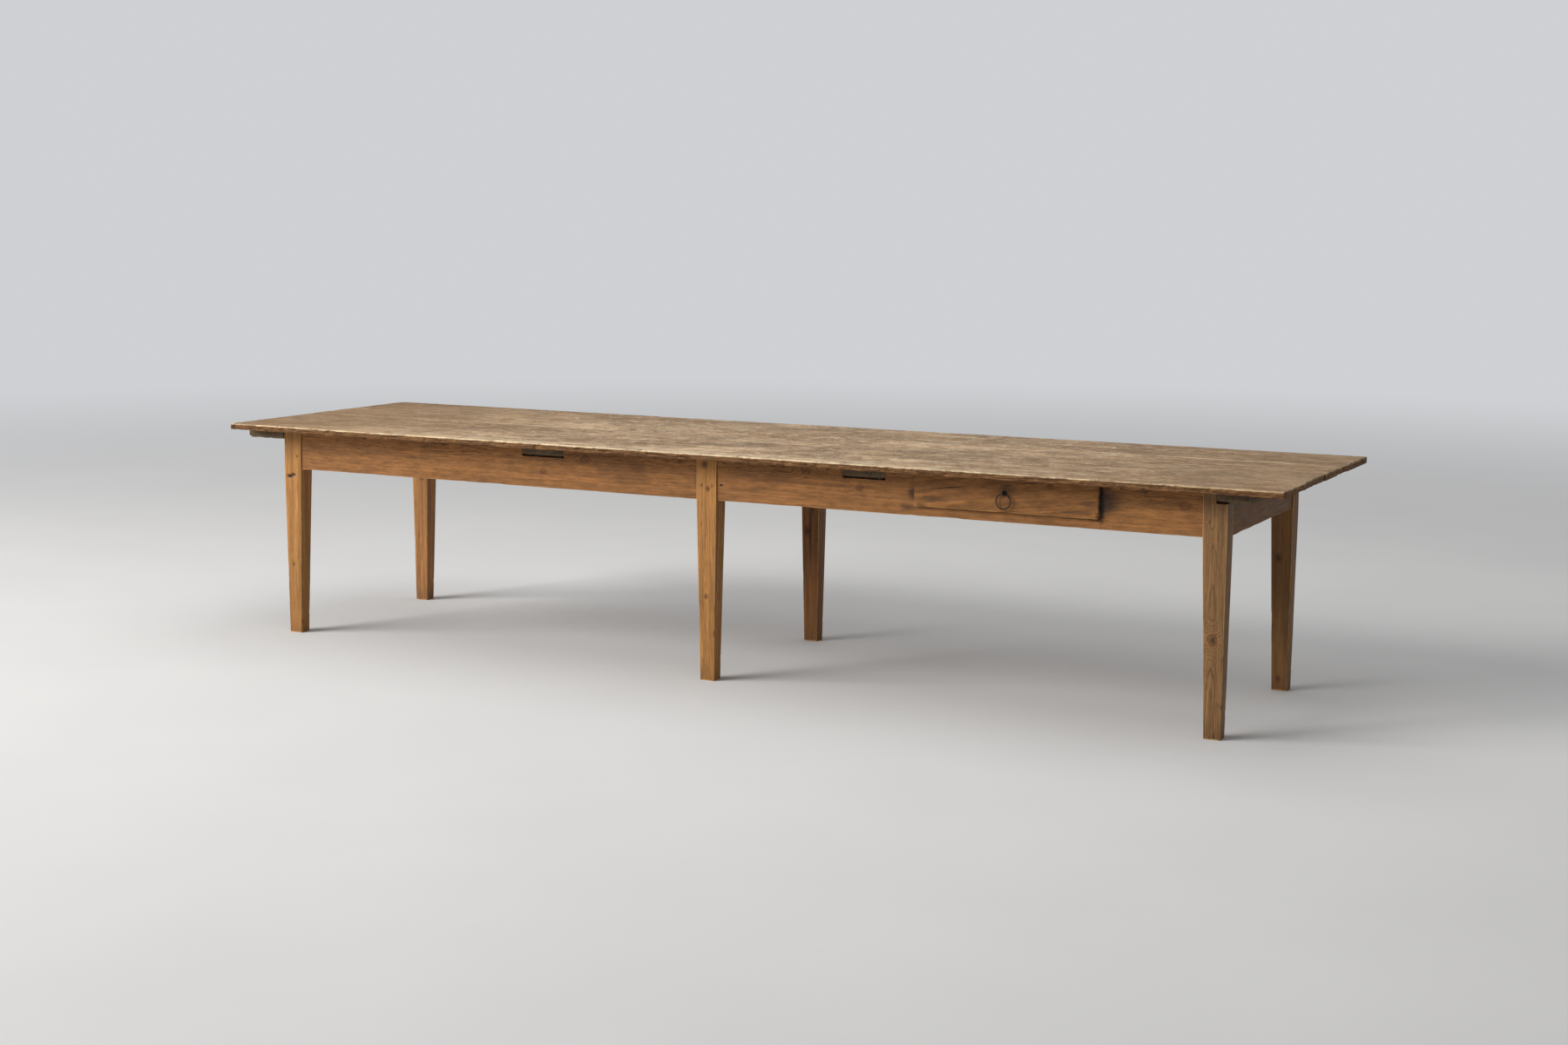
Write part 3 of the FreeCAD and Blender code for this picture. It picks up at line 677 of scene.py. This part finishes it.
def leg_finish(name, low, high, pith, knots=(), stains_and_shadows=(), tone=honey, late=honey_late, ring=0.0036,
               figure=0.62):
    """Honey-coloured leg with upright grain and rubbed corners that follow the taper."""
    wood = Finish(name)
    wood.timber(upright, pith, tone, late, ring, 0.012, 0.0030, figure, knots, 0.45)
    wood.dirt(umber, 0.4, 0.52, 0.8, 0.45)
    wood.crack(0.007, 0.54)
    for centre, reach, colour, amount in stains_and_shadows:
        wood.stain(centre, reach, colour, amount)
    centre = (low + high) / 2
    x, y, z = wood.split(wood.at)
    taper = wood.add("ShaderNodeMapRange")
    wood.feed(taper.inputs[0], z)
    taper.inputs[2].default_value = shoulder_z
    taper.inputs[3].default_value = half_foot_width / half_leg_width
    taper.inputs[4].default_value = 1.0
    swell = wood.math("DIVIDE", 1.0, taper.outputs[0])
    straight = wood.join(wood.math("MULTIPLY", wood.math("SUBTRACT", x, centre.x), swell),
                         wood.math("MULTIPLY", wood.math("SUBTRACT", y, centre.y), swell), z)
    wood.rubbed(-half_leg, half_leg + Vector((0, 0, top_z)), 0.0038, honey_worn, 0.65, straight)
    foot = wood.rise(z, 0.0, 0.09, 0.5, 0.0)
    wood.lay(wood.math("MULTIPLY", foot, wood.rise(wood.thread["Broad"], 0.35, 0.65)), umber)
    return wood.done(0.5, 0.7, 0.0012, 0.25)


def batten_finish(name, low, high):
    """Weathered grey-black batten, its grain across the table, with a painted highlight along its lower edge.
    """
    wood = Finish(name)
    middle = (low + high) / 2
    pith = (0.0, -middle.x - 0.05, -middle.z + 0.12)
    wood.timber(across, pith, weathered, srgb(50, 41, 32), 0.004, 0.02, 0.004, 0.4)
    wood.dirt(srgb(44, 35, 27), 0.5, 0.48, 0.74, 0.4)
    wood.crack(0.012, 0.45)
    height = wood.split(wood.at)[2]
    # Paler lower band: a painted highlight where light catches the batten's lower edge
    wood.lay(wood.rise(height, low.z + 0.008, low.z + 0.014, 0.3, 0.0), weathered_pale_and_highlight)
    wood.rubbed(low, high, 0.004, weathered_pale_and_highlight, 0.25)
    return wood.done(0.7, 0.9, 0.0014, 0.12)


def inner_finish(name, turn, pith):
    """Unfinished pine inside the table, dry and a little dusty."""
    wood = Finish(name)
    wood.timber(turn, pith, raw_pine, raw_late, 0.0045, 0.02, 0.005, 0.8)
    wood.dirt(umber, 0.35, 0.5, 0.8, 0.3)
    wood.crack(0.005, 0.58)
    return wood.done(0.62, 0.85, 0.001, 0.25)


# Ink-dark marks on the drawer front: place and reach along X and Z, and how dark
ink_marks = [
    ((1.066, 0.722), (0.040, 0.018), 0.6), ((1.058, 0.690), (0.060, 0.040), 0.2),
    ((0.81, 0.672), (0.070, 0.014), 0.55), ((0.775, 0.650), (0.030, 0.009), 0.65),
    ((1.335, 0.690), (0.050, 0.012), 0.45), ((1.29, 0.662), (0.085, 0.010), 0.55),
]


def drawer_front_finish(name, low, high):
    """Drawer front: slanting rippled figure at its upper left, a knot, and old ink-dark marks."""
    wood = Finish(name)
    middle = (low + high) / 2
    knots = [((1.210, low.y, 0.736), (0.011, 0.02, 0.009))]
    x, _, z = wood.split(wood.at)
    lift = wood.math("ADD", wood.math("MULTIPLY", x, -0.35), z)
    figured = wood.rise(lift, 0.30, 0.46, 0.12, 0.7)
    slant, pith = (0.0, 0.13, 0.0), (-middle.x * 0.99, 0.462, -0.88)
    wood.timber(slant, pith, amber, amber_late, 0.0040, 0.035, 0.012, figured, knots, 0.5, 0.7, 0.5)
    wood.scuff(0.24)
    wood.dirt(umber, 0.35, 0.5, 0.78, 0.5)
    wood.crack(0.005, 0.54)
    ink = srgb(34, 29, 27)
    for place, reach, amount in ink_marks:
        wood.stain((place[0], low.y, place[1]), (reach[0], 0.05, reach[1]), ink, amount * 0.8, 1.6)
    outer_low, outer_high = Vector((low.x - 0.05, low.y, low.z)), high + Vector((0.05, 0.05, 0.05))
    wood.rubbed(outer_low, outer_high, 0.0035, amber_worn, 0.6)
    return wood.done(0.52, 0.74, 0.0016, 0.18)


def peg_finish():
    """End grain of the pegs, a little darker than the legs."""
    wood = Finish("peg_end_grain")
    wood.timber(across, (0.0, -0.3, -0.5), srgb(164, 114, 64), srgb(116, 76, 42), 0.0022, 0.004, 0.001, 0.9)
    wood.dirt(umber, 0.3, 0.5, 0.75, 0.3)
    return wood.done(0.55, 0.75, 0.0008, 0.3)


def iron_finish():
    """Forged iron: black scale with brown rust in the low places."""
    work = Finish("forged_iron")
    work.thread = work.use(fibres, vector=work.at)
    scale = work.noise(work.at, (140, 140, 140), detail=5, rough=0.65)
    rust = work.rise(work.noise(work.at, (60, 60, 60), (3, 3, 3), 5, 0.7), 0.5, 0.68)
    work.colour = work.blend(scale, srgb(16, 14, 13), srgb(38, 33, 30))
    work.lay(work.math("MULTIPLY", rust, 0.6), srgb(62, 38, 25))
    work.height = work.math("MULTIPLY", scale, 1.0)
    work.feed(work.shader.inputs["Metallic"], work.rise(rust, 0.0, 1.0, 0.3, 0.05))
    made = work.done(0.42, 0.6, 0.0006, 0.35)
    work.feed(work.shader.inputs["Roughness"], work.rise(rust, 0.0, 1.0, 0.6, 0.9))
    return made


# Top boards

board_names = ["top_board_front", "top_board_mid_front", "top_board_mid_back", "top_board_back"]
board_boxes = [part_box(name) for name in board_names]
seam = 0.0006
tongue_low, tongue_high = 0.7655, 0.7725
groove_depth = 0.0084
end_trims = [(0.0, 0.0), (0.003, -0.005), (0.0, -0.002), (0.004, 0.0)]


def top_board(index):
    """A plank drawn as its end section with tongue and groove, then pulled out to its length."""
    low, high = board_boxes[index]
    first, last = index == 0, index == len(board_names) - 1
    back = high.y if last else board_boxes[index + 1][0].y - seam
    tongue = high.y - back
    put_down()
    bpy.ops.mesh.primitive_plane_add(size=1, location=(low.x, (low.y + back) / 2, (low.z + high.z) / 2),
                                     rotation=(0, -math.pi / 2, 0))
    board = bpy.context.object
    board.name = "worn_" + board_names[index]
    board.data.name = board.name
    board.scale = (high.z - low.z, back - low.y, 1)
    bpy.ops.object.transform_apply(location=True, rotation=True, scale=True)
    open_up(board)
    outer = [low.y] * first + [back] * last
    inner = [low.y] * (not first) + [back] * (not last)
    pick(board, "VERT", lambda v: any(abs(v.co.y - y) < 1e-4 for y in outer))
    bpy.ops.mesh.bevel(affect="VERTICES", offset=0.004, segments=3)
    pick(board, "VERT", lambda v: v.co.z > high.z - 1e-4 and any(abs(v.co.y - y) < 1e-4 for y in inner))
    bpy.ops.mesh.bevel(affect="VERTICES", offset=0.0008, segments=1)
    saw(board, 2, [tongue_low, tongue_high])
    if not first:
        saw(board, 1, [low.y + groove_depth])
        bottom = low.y + groove_depth
        in_groove = lambda place: in_tongue(place) and place.y < bottom
        pick(board, "FACE", lambda f: in_groove(f.calc_center_median()))
        bpy.ops.mesh.delete(type="FACE")
    if not last:
        pick(board, "EDGE", lambda e: in_tongue(mid(e)) and mid(e).y > back - 1e-5)
        bpy.ops.mesh.extrude_edges_move(TRANSFORM_OT_translate={"value": (0, tongue, 0)})
    near = [0.004, 0.009, 0.016, 0.026, 0.042]
    rows = [low.y + d for d in near] + [back - d for d in near]
    saw(board, 1, rows + steps(low.y + near[-1], back - near[-1], 0.02))
    bpy.ops.mesh.select_all(action="SELECT")
    bpy.ops.mesh.extrude_region_move(TRANSFORM_OT_translate={"value": (high.x - low.x, 0, 0)})
    bpy.ops.mesh.select_all(action="SELECT")
    bpy.ops.mesh.normals_make_consistent(inside=False)
    for line, trim in zip((low.x, high.x), end_trims[index]):
        pick(board, "VERT", lambda v: abs(v.co.x - line) < 1e-4)
        bpy.ops.transform.translate(value=(trim, 0, 0))
    for cuts in (33, 33) if first else (19, 19):
        pick(board, "EDGE", lambda e: runs(e, 0))
        bpy.ops.mesh.subdivide(number_cuts=cuts)
    put_down()
    return board, low, Vector((high.x, back, high.z)), first, last


def in_tongue(place):
    """True at the height of the tongue."""
    return tongue_low < place.z < tongue_high


def near_line(place, line, reach):
    """1 on a line, falling to 0 at its reach."""
    return max(0.0, 1.0 - abs(place - line) / reach)


def mark_brink(board, lines, top):
    """Keeps on each point how near it lies to the worn upper edge, before the wear moves it."""
    nearness = board.data.attributes.new("brink", "FLOAT", "POINT")
    for point in board.data.vertices:
        inwards = min((abs(point.co[axis] - line) for axis, line in lines), default=1.0)
        nearness.data[point.index].value = max(0.0, 1.0 - max(inwards / 0.014, (top - point.co.z) / 0.0080))


def wear_board(board, low, high, first, last):
    """Hollows on the face, a ragged splintered outer edge, and chipped ends."""
    upper = lambda p: 1.0 if p.z > low.z + 0.015 else 0.0
    edges = [(low.y, "+Y", 1.0)] * first + [(high.y, "-Y", 0.6)] * last
    mark_brink(board, [(1, edge[0]) for edge in edges] + [(0, low.x), (0, high.x)], high.z)
    rub(board, "hollow", 0.0014, (0.35, 0.09, 0.2), weight=upper, push="-Z")
    rub(board, "raised_grain", 0.0008, (0.16, 0.007, 0.05), weight=upper, push="-Z")
    for line, push, much in edges:
        edge = lambda p: near_line(p.y, line, 0.030)
        brink = lambda p: near_line(p.y, line, 0.014) ** 0.7
        lower = lambda p: near_line(p.y, line, 0.014) * (1.0 if p.z < high.z - 0.006 else 0.25)
        rub(board, "edge_wander", 0.0028 * much, (0.30, 0.05, 0.05), weight=edge, push=push)
        rub(board, "edge_splinters", 0.0050 * much, (0.060, 0.05, 0.0045), weight=lower, push=push)
        rub(board, "edge_chips", 0.0070 * much, (0.034, 0.05, 0.014), bite=(0.28, 0.54), weight=brink,
            push=push)
        rub(board, "arris_wear", 0.0022, (0.022, 0.02, 0.02), weight=brink, push="-Z")
    for line, push in ((low.x, "+X"), (high.x, "-X")):
        end = lambda p: near_line(p.x, line, 0.012) ** 0.7
        rub(board, "end_wear", 0.0030, (0.05, 0.025, 0.012), weight=end, push=push)
        rub(board, "end_chips", 0.0060, (0.05, 0.045, 0.03), bite=(0.34, 0.44), weight=end, push=push)


tones = [1.03, 0.93, 1.03, 0.90]
piths = [(0.3, 0.40, -0.72), (0.9, 0.16, -0.70), (-0.2, -0.06, -0.735), (0.5, -0.36, -0.71)]
# Knots of each board: X, Y and size
top_marks = [
    [(-0.9, -0.40, 0.010), (1.35, -0.36, 0.009)],
    [(0.35, -0.16, 0.011)],
    [(-1.2, 0.08, 0.010), (1.6, 0.11, 0.008)],
    [(-0.4, 0.36, 0.011)],
]
# Stains: place, reach, colour, amount and how ragged
chipped_seam = [
    ((1.15, back_seam_y, top_z), (0.16, 0.009, 0.02), top_bare_and_highlight, 0.7, 2.6),
    ((1.45, back_seam_y, top_z), (0.20, 0.010, 0.02), top_bare_and_highlight, 0.75, 2.6),
    ((1.75, back_seam_y, top_z), (0.17, 0.010, 0.02), top_bare_and_highlight, 0.75, 2.6),
]
top_stains = [
    [((-0.210, -0.512, top_z), (0.012, 0.012, 0.02), soot_and_shadow, 0.9, 0.5)],
    [((-1.1, -0.2, top_z), (0.16, 0.06, 0.02), top_dark, 0.3, 1.0)],
    [((0.731, 0.179, top_z), (0.006, 0.010, 0.02), top_bare_and_highlight, 0.9, 0.5)] + chipped_seam,
    [((1.152, 0.376, top_z), (0.009, 0.011, 0.02), soot_and_shadow, 0.95, 0.5),
     ((1.150, 0.345, top_z), (0.011, 0.022, 0.02), top_bare_and_highlight, 0.75, 0.5)] + chipped_seam,
]
for index, node in enumerate(board_names):
    board, low, high, first, last = top_board(index)
    wear_board(board, low, high, first, last)
    finish = top_finish("weathered_" + node, low, high, piths[index], top_marks[index], tones[index],
                        top_stains[index])
    stand_in(board, node, "table", finish)

# Legs

def leg(name):
    """A square head and a tapered shaft, with rubbed corners."""
    low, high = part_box(name)
    middle = (low + high) / 2
    shaft = sawn_block("worn_" + name, low, high)
    open_up(shaft)
    saw(shaft, 2, [shoulder_z])
    pick(shaft, "VERT", lambda v: v.co.z < 0.001)
    bpy.ops.transform.resize(value=foot_share, center_override=(middle.x, middle.y, 0))
    pick(shaft, "EDGE", lambda e: runs(e, 2))
    bpy.ops.mesh.bevel(offset=0.0028, segments=2, affect="EDGES")
    pick(shaft, "EDGE", lambda e: runs(e, 2) and mid(e).z > shoulder_z)
    bpy.ops.mesh.subdivide(number_cuts=29)
    for cuts in (13, 8):
        pick(shaft, "EDGE", lambda e: runs(e, 2) and mid(e).z < shoulder_z)
        bpy.ops.mesh.subdivide(number_cuts=cuts)
    saw(shaft, 0, [middle.x + 0.006 * i for i in range(-4, 5)])
    saw(shaft, 1, [middle.y + 0.006 * i for i in range(-3, 4)])
    put_down()
    rub(shaft, "plane_marks", 0.0007, (0.06, 0.06, 0.20))
    rub(shaft, "nicks", 0.0010, (0.018, 0.018, 0.05), bite=(0.22, 0.34), shift=middle)
    for centre, reach, push in gouges.get(name, []):
        dent(shaft, centre, reach, push)
    return shaft, low, high


# Deep marks: place, reach and how far they go in
gouges = {
    "leg_front_left": [((-1.772, -0.421, 0.584), (0.016, 0.014, 0.008), (0, 0.007, -0.001)),
                       ((-1.757, -0.421, 0.590), (0.014, 0.014, 0.007), (0, 0.006, 0.001)),
                       ((-1.764, -0.412, 0.255), (0.006, 0.012, 0.016), (0, 0.004, 0))],
    "leg_front_middle": [((0.027, -0.40, 0.288), (0.010, 0.02, 0.030), (-0.004, 0, 0)),
                         ((0.022, -0.410, 0.16), (0.012, 0.012, 0.014), (-0.004, 0.003, 0))],
    "leg_back_middle": [((-0.010, 0.358, 0.40), (0.006, 0.012, 0.14), (0, 0.004, 0))],
    "leg_front_right": [((1.752, -0.41, 0.10), (0.012, 0.012, 0.012), (-0.004, 0.003, 0))],
}


def notch(piece, low, high):
    """Cuts a batten's notch out of a piece."""
    cutter = sawn_block("notch_cutter", low, high)
    take_up(piece)
    change = piece.modifiers.new("notch", "BOOLEAN")
    change.object = cutter
    change.operation = "DIFFERENCE"
    change.solver = "EXACT"
    bpy.ops.object.modifier_apply(modifier="notch")
    bpy.data.objects.remove(cutter)


leg_looks = {
    "leg_front_left": dict(
        pith=(0.0, 0.35, -1.66),
        knots=[((-1.707, -0.418, 0.447), (0.012, 0.02, 0.015)),
               ((-1.724, -0.418, 0.040), (0.010, 0.02, 0.012))],
        stains_and_shadows=[((-1.772, -0.420, 0.584), (0.022, 0.03, 0.009), soot_and_shadow, 0.95),
                ((-1.756, -0.420, 0.591), (0.018, 0.03, 0.008), soot_and_shadow, 0.9),
                ((-1.762, -0.414, 0.255), (0.006, 0.02, 0.014), soot_and_shadow, 0.8)]),
    "leg_front_middle": dict(
        pith=(0.0, 0.36, -0.10),
        knots=[((-0.017, -0.422, 0.732), (0.012, 0.02, 0.014)),
               ((-0.003, -0.422, 0.651), (0.009, 0.02, 0.010)),
               ((-0.012, -0.415, 0.286), (0.008, 0.02, 0.010))],
        stains_and_shadows=[((0.030, -0.39, 0.288), (0.006, 0.03, 0.05), soot_and_shadow, 0.7)]),
    "leg_front_right": dict(
        pith=(0.0, 0.37, 1.722),
        knots=[((1.727, -0.414, 0.303), (0.014, 0.02, 0.018))],
        tone=srgb(136, 100, 61), late=srgb(72, 46, 25), ring=0.0023, figure=0.75),
    "leg_back_left": dict(
        pith=(0.0, -0.31, -1.66),
        knots=[((-1.75, 0.36, 0.5), (0.012, 0.02, 0.015))],
        tone=srgb(170, 118, 68)),
    "leg_back_middle": dict(
        pith=(0.0, -0.33, 0.07),
        knots=[((-0.021, 0.36, 0.406), (0.016, 0.02, 0.022))],
        stains_and_shadows=[((-0.009, 0.36, 0.40), (0.005, 0.02, 0.22), soot_and_shadow, 0.7)],
        tone=srgb(134, 88, 45), late=srgb(84, 50, 26)),
    "leg_back_right": dict(
        pith=(0.0, -0.31, 1.80),
        knots=[((1.719, 0.36, 0.443), (0.014, 0.02, 0.018)),
               ((1.722, 0.364, 0.040), (0.010, 0.02, 0.012))],
        tone=srgb(128, 90, 49), late=srgb(76, 48, 24)),
}
end_low, end_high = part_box("batten_right_end")
room = Vector((0.001, 0.001, 0.001))
for node, look in leg_looks.items():
    shaft, low, high = leg(node)
    if node.endswith("right"):
        notch(shaft, end_low - room, end_high + Vector((0.02, 0.001, 0.02)))
    stand_in(shaft, node, "table", leg_finish("pine_" + node, low, high, **look))

# Rails, battens and the drawer front

def worn_copy(node, axis, length, rows, depth):
    """A copy of a CAD piece, cut into short lengths and rubbed a little all over."""
    low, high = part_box(node)
    piece = solid_copy(node, "worn_" + node)
    open_up(piece)
    for other, places in rows.items():
        saw(piece, other, places)
    saw(piece, axis, steps(low[axis], high[axis], length))
    put_down()
    stretch = [0.02, 0.02, 0.02]
    stretch[axis] = 0.12
    rub(piece, "plane_marks", depth, stretch)
    lower = lambda p: near_line(p.z, low.z, 0.02)
    rub(piece, "nicks", depth * 2.5, [0.7 * s for s in stretch], bite=(0.30, 0.45), weight=lower, shift=high)
    return piece, low, high


rail_rows = {2: [0.616, 0.625, 0.645, 0.675, 0.70, 0.715, 0.735]}
rail_looks = {
    "rail_front_left": dict(
        pith=(0.0, 0.455, -0.745),
        knots=[((-0.659, -0.416, 0.669), (0.014, 0.02, 0.011)),
               ((-0.488, -0.416, 0.719), (0.020, 0.02, 0.014))],
        stains_and_shadows=[((-0.046, -0.416, 0.66), (0.02, 0.02, 0.06), umber, 0.3)]),
    "rail_front_right": dict(
        pith=(0.0, 0.452, -0.748),
        knots=[((0.362, -0.416, 0.734), (0.018, 0.02, 0.013)),
               ((0.554, -0.416, 0.689), (0.013, 0.02, 0.011)),
               ((1.635, -0.416, 0.703), (0.020, 0.02, 0.012))],
        stains_and_shadows=[((0.745, -0.418, 0.685), (0.030, 0.03, 0.03), soot_and_shadow, 0.75),
                ((0.72, -0.418, 0.64), (0.035, 0.03, 0.016), soot_and_shadow, 0.5),
                # Beside the drawer's right end: a soot stain with painted shadow in it, then a narrow strip
                # of painted shadow cast by the proud drawer front
                ((1.372, -0.418, 0.70), (0.085, 0.03, 0.065), soot_and_shadow, 0.8),
                ((1.370, -0.418, 0.69), (0.016, 0.03, 0.085), soot_and_shadow, 0.9),
                ((0.045, -0.418, 0.665), (0.010, 0.02, 0.007), soot_and_shadow, 0.9)]),
    "rail_back_left": dict(pith=(0.0, -0.45, -0.74)),
    "rail_back_right": dict(pith=(0.0, -0.46, -0.75)),
    # The end rails take the darker amber as painted shade
    "rail_end_left": dict(pith=(0.0, 1.80, -0.75), end_rail=True, tone=amber_painted_shade),
    "rail_end_right": dict(pith=(0.0, -1.77, -0.74), end_rail=True, tone=amber_painted_shade),
    "rail_middle": dict(pith=(0.0, -0.05, -0.75), end_rail=True),
}
for node, look in rail_looks.items():
    axis = 1 if look.get("end_rail") else 0
    rail, low, high = worn_copy(node, axis, 0.018, rail_rows, 0.0006)
    stand_in(rail, node, "table", rail_finish("amber_" + node, low, high, **look))

for node in ("batten_left_end", "batten_left", "batten_right", "batten_right_end"):
    low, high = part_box(node)
    rows = {0: steps(low.x, high.x, 0.015), 2: [0.723, 0.728, 0.738, 0.748]}
    batten, low, high = worn_copy(node, 1, 0.03, rows, 0.0006)
    stand_in(batten, node, "table", batten_finish("weathered_" + node, low, high))

low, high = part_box("drawer_front")
rows = {2: steps(low.z, high.z, 0.012)}
front, low, high = worn_copy("drawer_front", 0, 0.012, rows, 0.0005)
figured = drawer_front_finish("figured_drawer_front", low, high)
stand_in(front, "drawer_front", "drawer", figured)

# Ring pull

def forged_ring(node):
    """A round ring with a swollen weld, hammered a little out of true."""
    low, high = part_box(node)
    thick = (high.y - low.y) / 2
    put_down()
    bpy.ops.mesh.primitive_torus_add(location=(low + high) / 2, rotation=(math.pi / 2, 0, 0),
                                     major_segments=88, minor_segments=14,
                                     major_radius=(high.x - low.x) / 2 - thick, minor_radius=thick * 0.97)
    ring = bpy.context.object
    ring.name = "forged_" + node
    bpy.ops.object.transform_apply(location=True, rotation=True, scale=True)
    open_up(ring)
    weld = Vector((low.x + thick, (low.y + high.y) / 2, (low.z + high.z) / 2))
    pick(ring, "VERT", lambda v: (v.co - weld).length < 0.005)
    bpy.ops.transform.resize(value=(1.02, 1.02, 1.0), center_override=weld)
    put_down()
    rub(ring, "hammer_marks", 0.0004, (0.006, 0.006, 0.006))
    return ring


def forged_rose(node):
    """A small hammered washer with a raised rim and a dished face."""
    low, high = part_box(node)
    middle = (low + high) / 2
    put_down()
    bpy.ops.mesh.primitive_cylinder_add(vertices=40, radius=(high.x - low.x) / 2, depth=high.y - low.y,
                                        location=middle, rotation=(math.pi / 2, 0, 0))
    rose = bpy.context.object
    rose.name = "forged_" + node
    bpy.ops.object.transform_apply(location=True, rotation=True, scale=True)
    open_up(rose)
    pick(rose, "FACE", lambda f: f.normal.y < -0.9)
    bpy.ops.mesh.inset(thickness=0.0012)
    bpy.ops.mesh.inset(thickness=0.0025, depth=-0.0004)
    bpy.ops.mesh.inset(thickness=0.0025, depth=0.0003)
    pick(rose, "EDGE", lambda e: abs(e.calc_face_angle(0)) > 0.9)
    bpy.ops.mesh.bevel(offset=0.0005, segments=2, affect="EDGES")
    put_down()
    rub(rose, "hammer_marks", 0.0004, (0.005, 0.005, 0.005))
    return rose


def forged_staple(node):
    """The eye and its clenched legs, with their corners hammered round."""
    staple = solid_copy(node, "forged_" + node)
    take_up(staple)
    round_off = staple.modifiers.new("round_off", "BEVEL")
    round_off.width, round_off.segments = 0.0004, 2
    round_off.limit_method, round_off.angle_limit = "ANGLE", math.radians(25)
    bpy.ops.object.modifier_apply(modifier="round_off")
    return staple


iron = iron_finish()
stand_in(forged_ring("pull_ring"), "pull_ring", "ring", iron)
stand_in(forged_rose("pull_rose"), "pull_rose", "drawer", iron)
stand_in(forged_staple("pull_staple"), "pull_staple", "drawer", iron)

# Pieces that keep their CAD shape

inner_along = inner_finish("dry_pine_along", along, (0.0, 0.2, -0.6))
inner_across = inner_finish("dry_pine_across", across, (0.0, -1.1, -0.62))
pegs = peg_finish()
kept = {
    "rail_pegs": pegs, "drawer_runner_left": inner_across, "drawer_runner_right": inner_across,
    "drawer_stop_left": inner_along, "drawer_stop_right": inner_along, "drawer_side_left": inner_across,
    "drawer_side_right": inner_across, "drawer_back": inner_along, "drawer_bottom": inner_along,
    "drawer_nails": iron, "batten_nails": iron,
}
for node, finish in kept.items():
    nodes[node].data.materials.clear()
    nodes[node].data.materials.append(finish)

# Floor, light and camera

def looked_at(bench):
    """1 for what the camera sees, straight, mirrored or through glass."""
    path = bench.add("ShaderNodeLightPath").outputs
    mirrored = bench.math("MAXIMUM", path["Is Glossy Ray"], path["Is Transmission Ray"])
    return bench.math("MAXIMUM", path["Is Camera Ray"], mirrored)


put_down()
bpy.ops.mesh.primitive_plane_add(size=200, location=(0, 0, 0))
floor = bpy.context.object
floor.name = "pale_floor"
backdrop = (0.62, 0.63, 0.65, 1.0)
chalk = Finish("pale_floor")
chalk.thread = chalk.use(fibres, vector=chalk.at)
mottle = chalk.noise(chalk.at, (1.5, 1.5, 1.5), detail=4)
chalk.colour = chalk.blend(mottle, srgb(208, 208, 208), srgb(216, 216, 215))
chalk.done(0.8, 0.9, 0.0004, 0.2)
far_off = chalk.rise(chalk.vector("LENGTH", chalk.at), 3.0, 13.0)
seen = chalk.math("MULTIPLY", far_off, looked_at(chalk))
haze = chalk.add("ShaderNodeEmission")
haze.inputs["Color"].default_value = backdrop
fade = chalk.add("ShaderNodeMixShader")
ends = next(n for n in chalk.tree.nodes if n.type == "OUTPUT_MATERIAL")
chalk.feed(fade.inputs[0], seen)
chalk.feed(fade.inputs[1], chalk.shader.outputs[0])
chalk.feed(fade.inputs[2], haze.outputs[0])
chalk.feed(ends.inputs["Surface"], fade.outputs[0])
floor.data.materials.append(chalk.material)

world = bpy.data.worlds.new("soft_room")
bpy.context.scene.world = world
world.use_nodes = True
room_air = Bench(world.node_tree)
glow = world.node_tree.nodes["Background"]
glow.inputs["Color"].default_value = (0.98, 0.98, 1.0, 1)
glow.inputs["Strength"].default_value = 0.3
behind = room_air.add("ShaderNodeBackground")
behind.inputs["Color"].default_value = backdrop
either = room_air.add("ShaderNodeMixShader")
room_air.feed(either.inputs[0], looked_at(room_air))
room_air.feed(either.inputs[1], glow.outputs[0])
room_air.feed(either.inputs[2], behind.outputs[0])
room_air.feed(world.node_tree.nodes["World Output"].inputs["Surface"], either.outputs[0])


def soft_light(name, place, aim, size, power, colour):
    """A wide lamp at a place, turned towards its aim."""
    lamp = bpy.data.lights.new(name, "AREA")
    lamp.shape = "RECTANGLE"
    lamp.size, lamp.size_y = size
    lamp.energy = power
    lamp.color = colour
    holder = bpy.data.objects.new(name, lamp)
    bpy.context.scene.collection.objects.link(holder)
    holder.location = place
    holder.rotation_euler = (Vector(aim) - Vector(place)).to_track_quat("-Z", "Y").to_euler()


soft_light("key", (-7.5, -6.6, 5.2), (0, 0, 0.5), (6.0, 4.0), 1020, (1.0, 0.98, 0.95))
soft_light("sky", (0.1, 0.0, 5.0), (0, 0, 0.7), (5.0, 4.0), 90, (1.0, 0.99, 0.97))
daylight = bpy.data.lights.new("daylight", "SUN")
daylight.energy = 0.85
daylight.angle = math.radians(30)
holder = bpy.data.objects.new("daylight", daylight)
bpy.context.scene.collection.objects.link(holder)
holder.rotation_euler = Vector((0.55, 0.72, -0.46)).to_track_quat("-Z", "Y").to_euler()

eye = bpy.data.cameras.new("eye")
eye.sensor_width = 36
eye.lens = 51.25
eye.shift_y = -0.1
holder = bpy.data.objects.new("eye", eye)
bpy.context.scene.collection.objects.link(holder)
standpoint = (3.603, -6.8824, 1.6057)
yaw, pitch, roll = -0.47501, 0.07318, 0.00601
ahead = Vector((math.sin(yaw) * math.cos(pitch), math.cos(yaw) * math.cos(pitch), -math.sin(pitch)))
right = Vector((math.cos(yaw), -math.sin(yaw), 0))
up = right.cross(ahead)
right, up = math.cos(roll) * right + math.sin(roll) * up, math.cos(roll) * up - math.sin(roll) * right
turned = Matrix((right, up, -ahead)).transposed()
holder.matrix_world = Matrix.Translation(standpoint) @ turned.to_4x4()
bpy.context.scene.camera = holder
bpy.context.scene.view_settings.view_transform = "Standard"
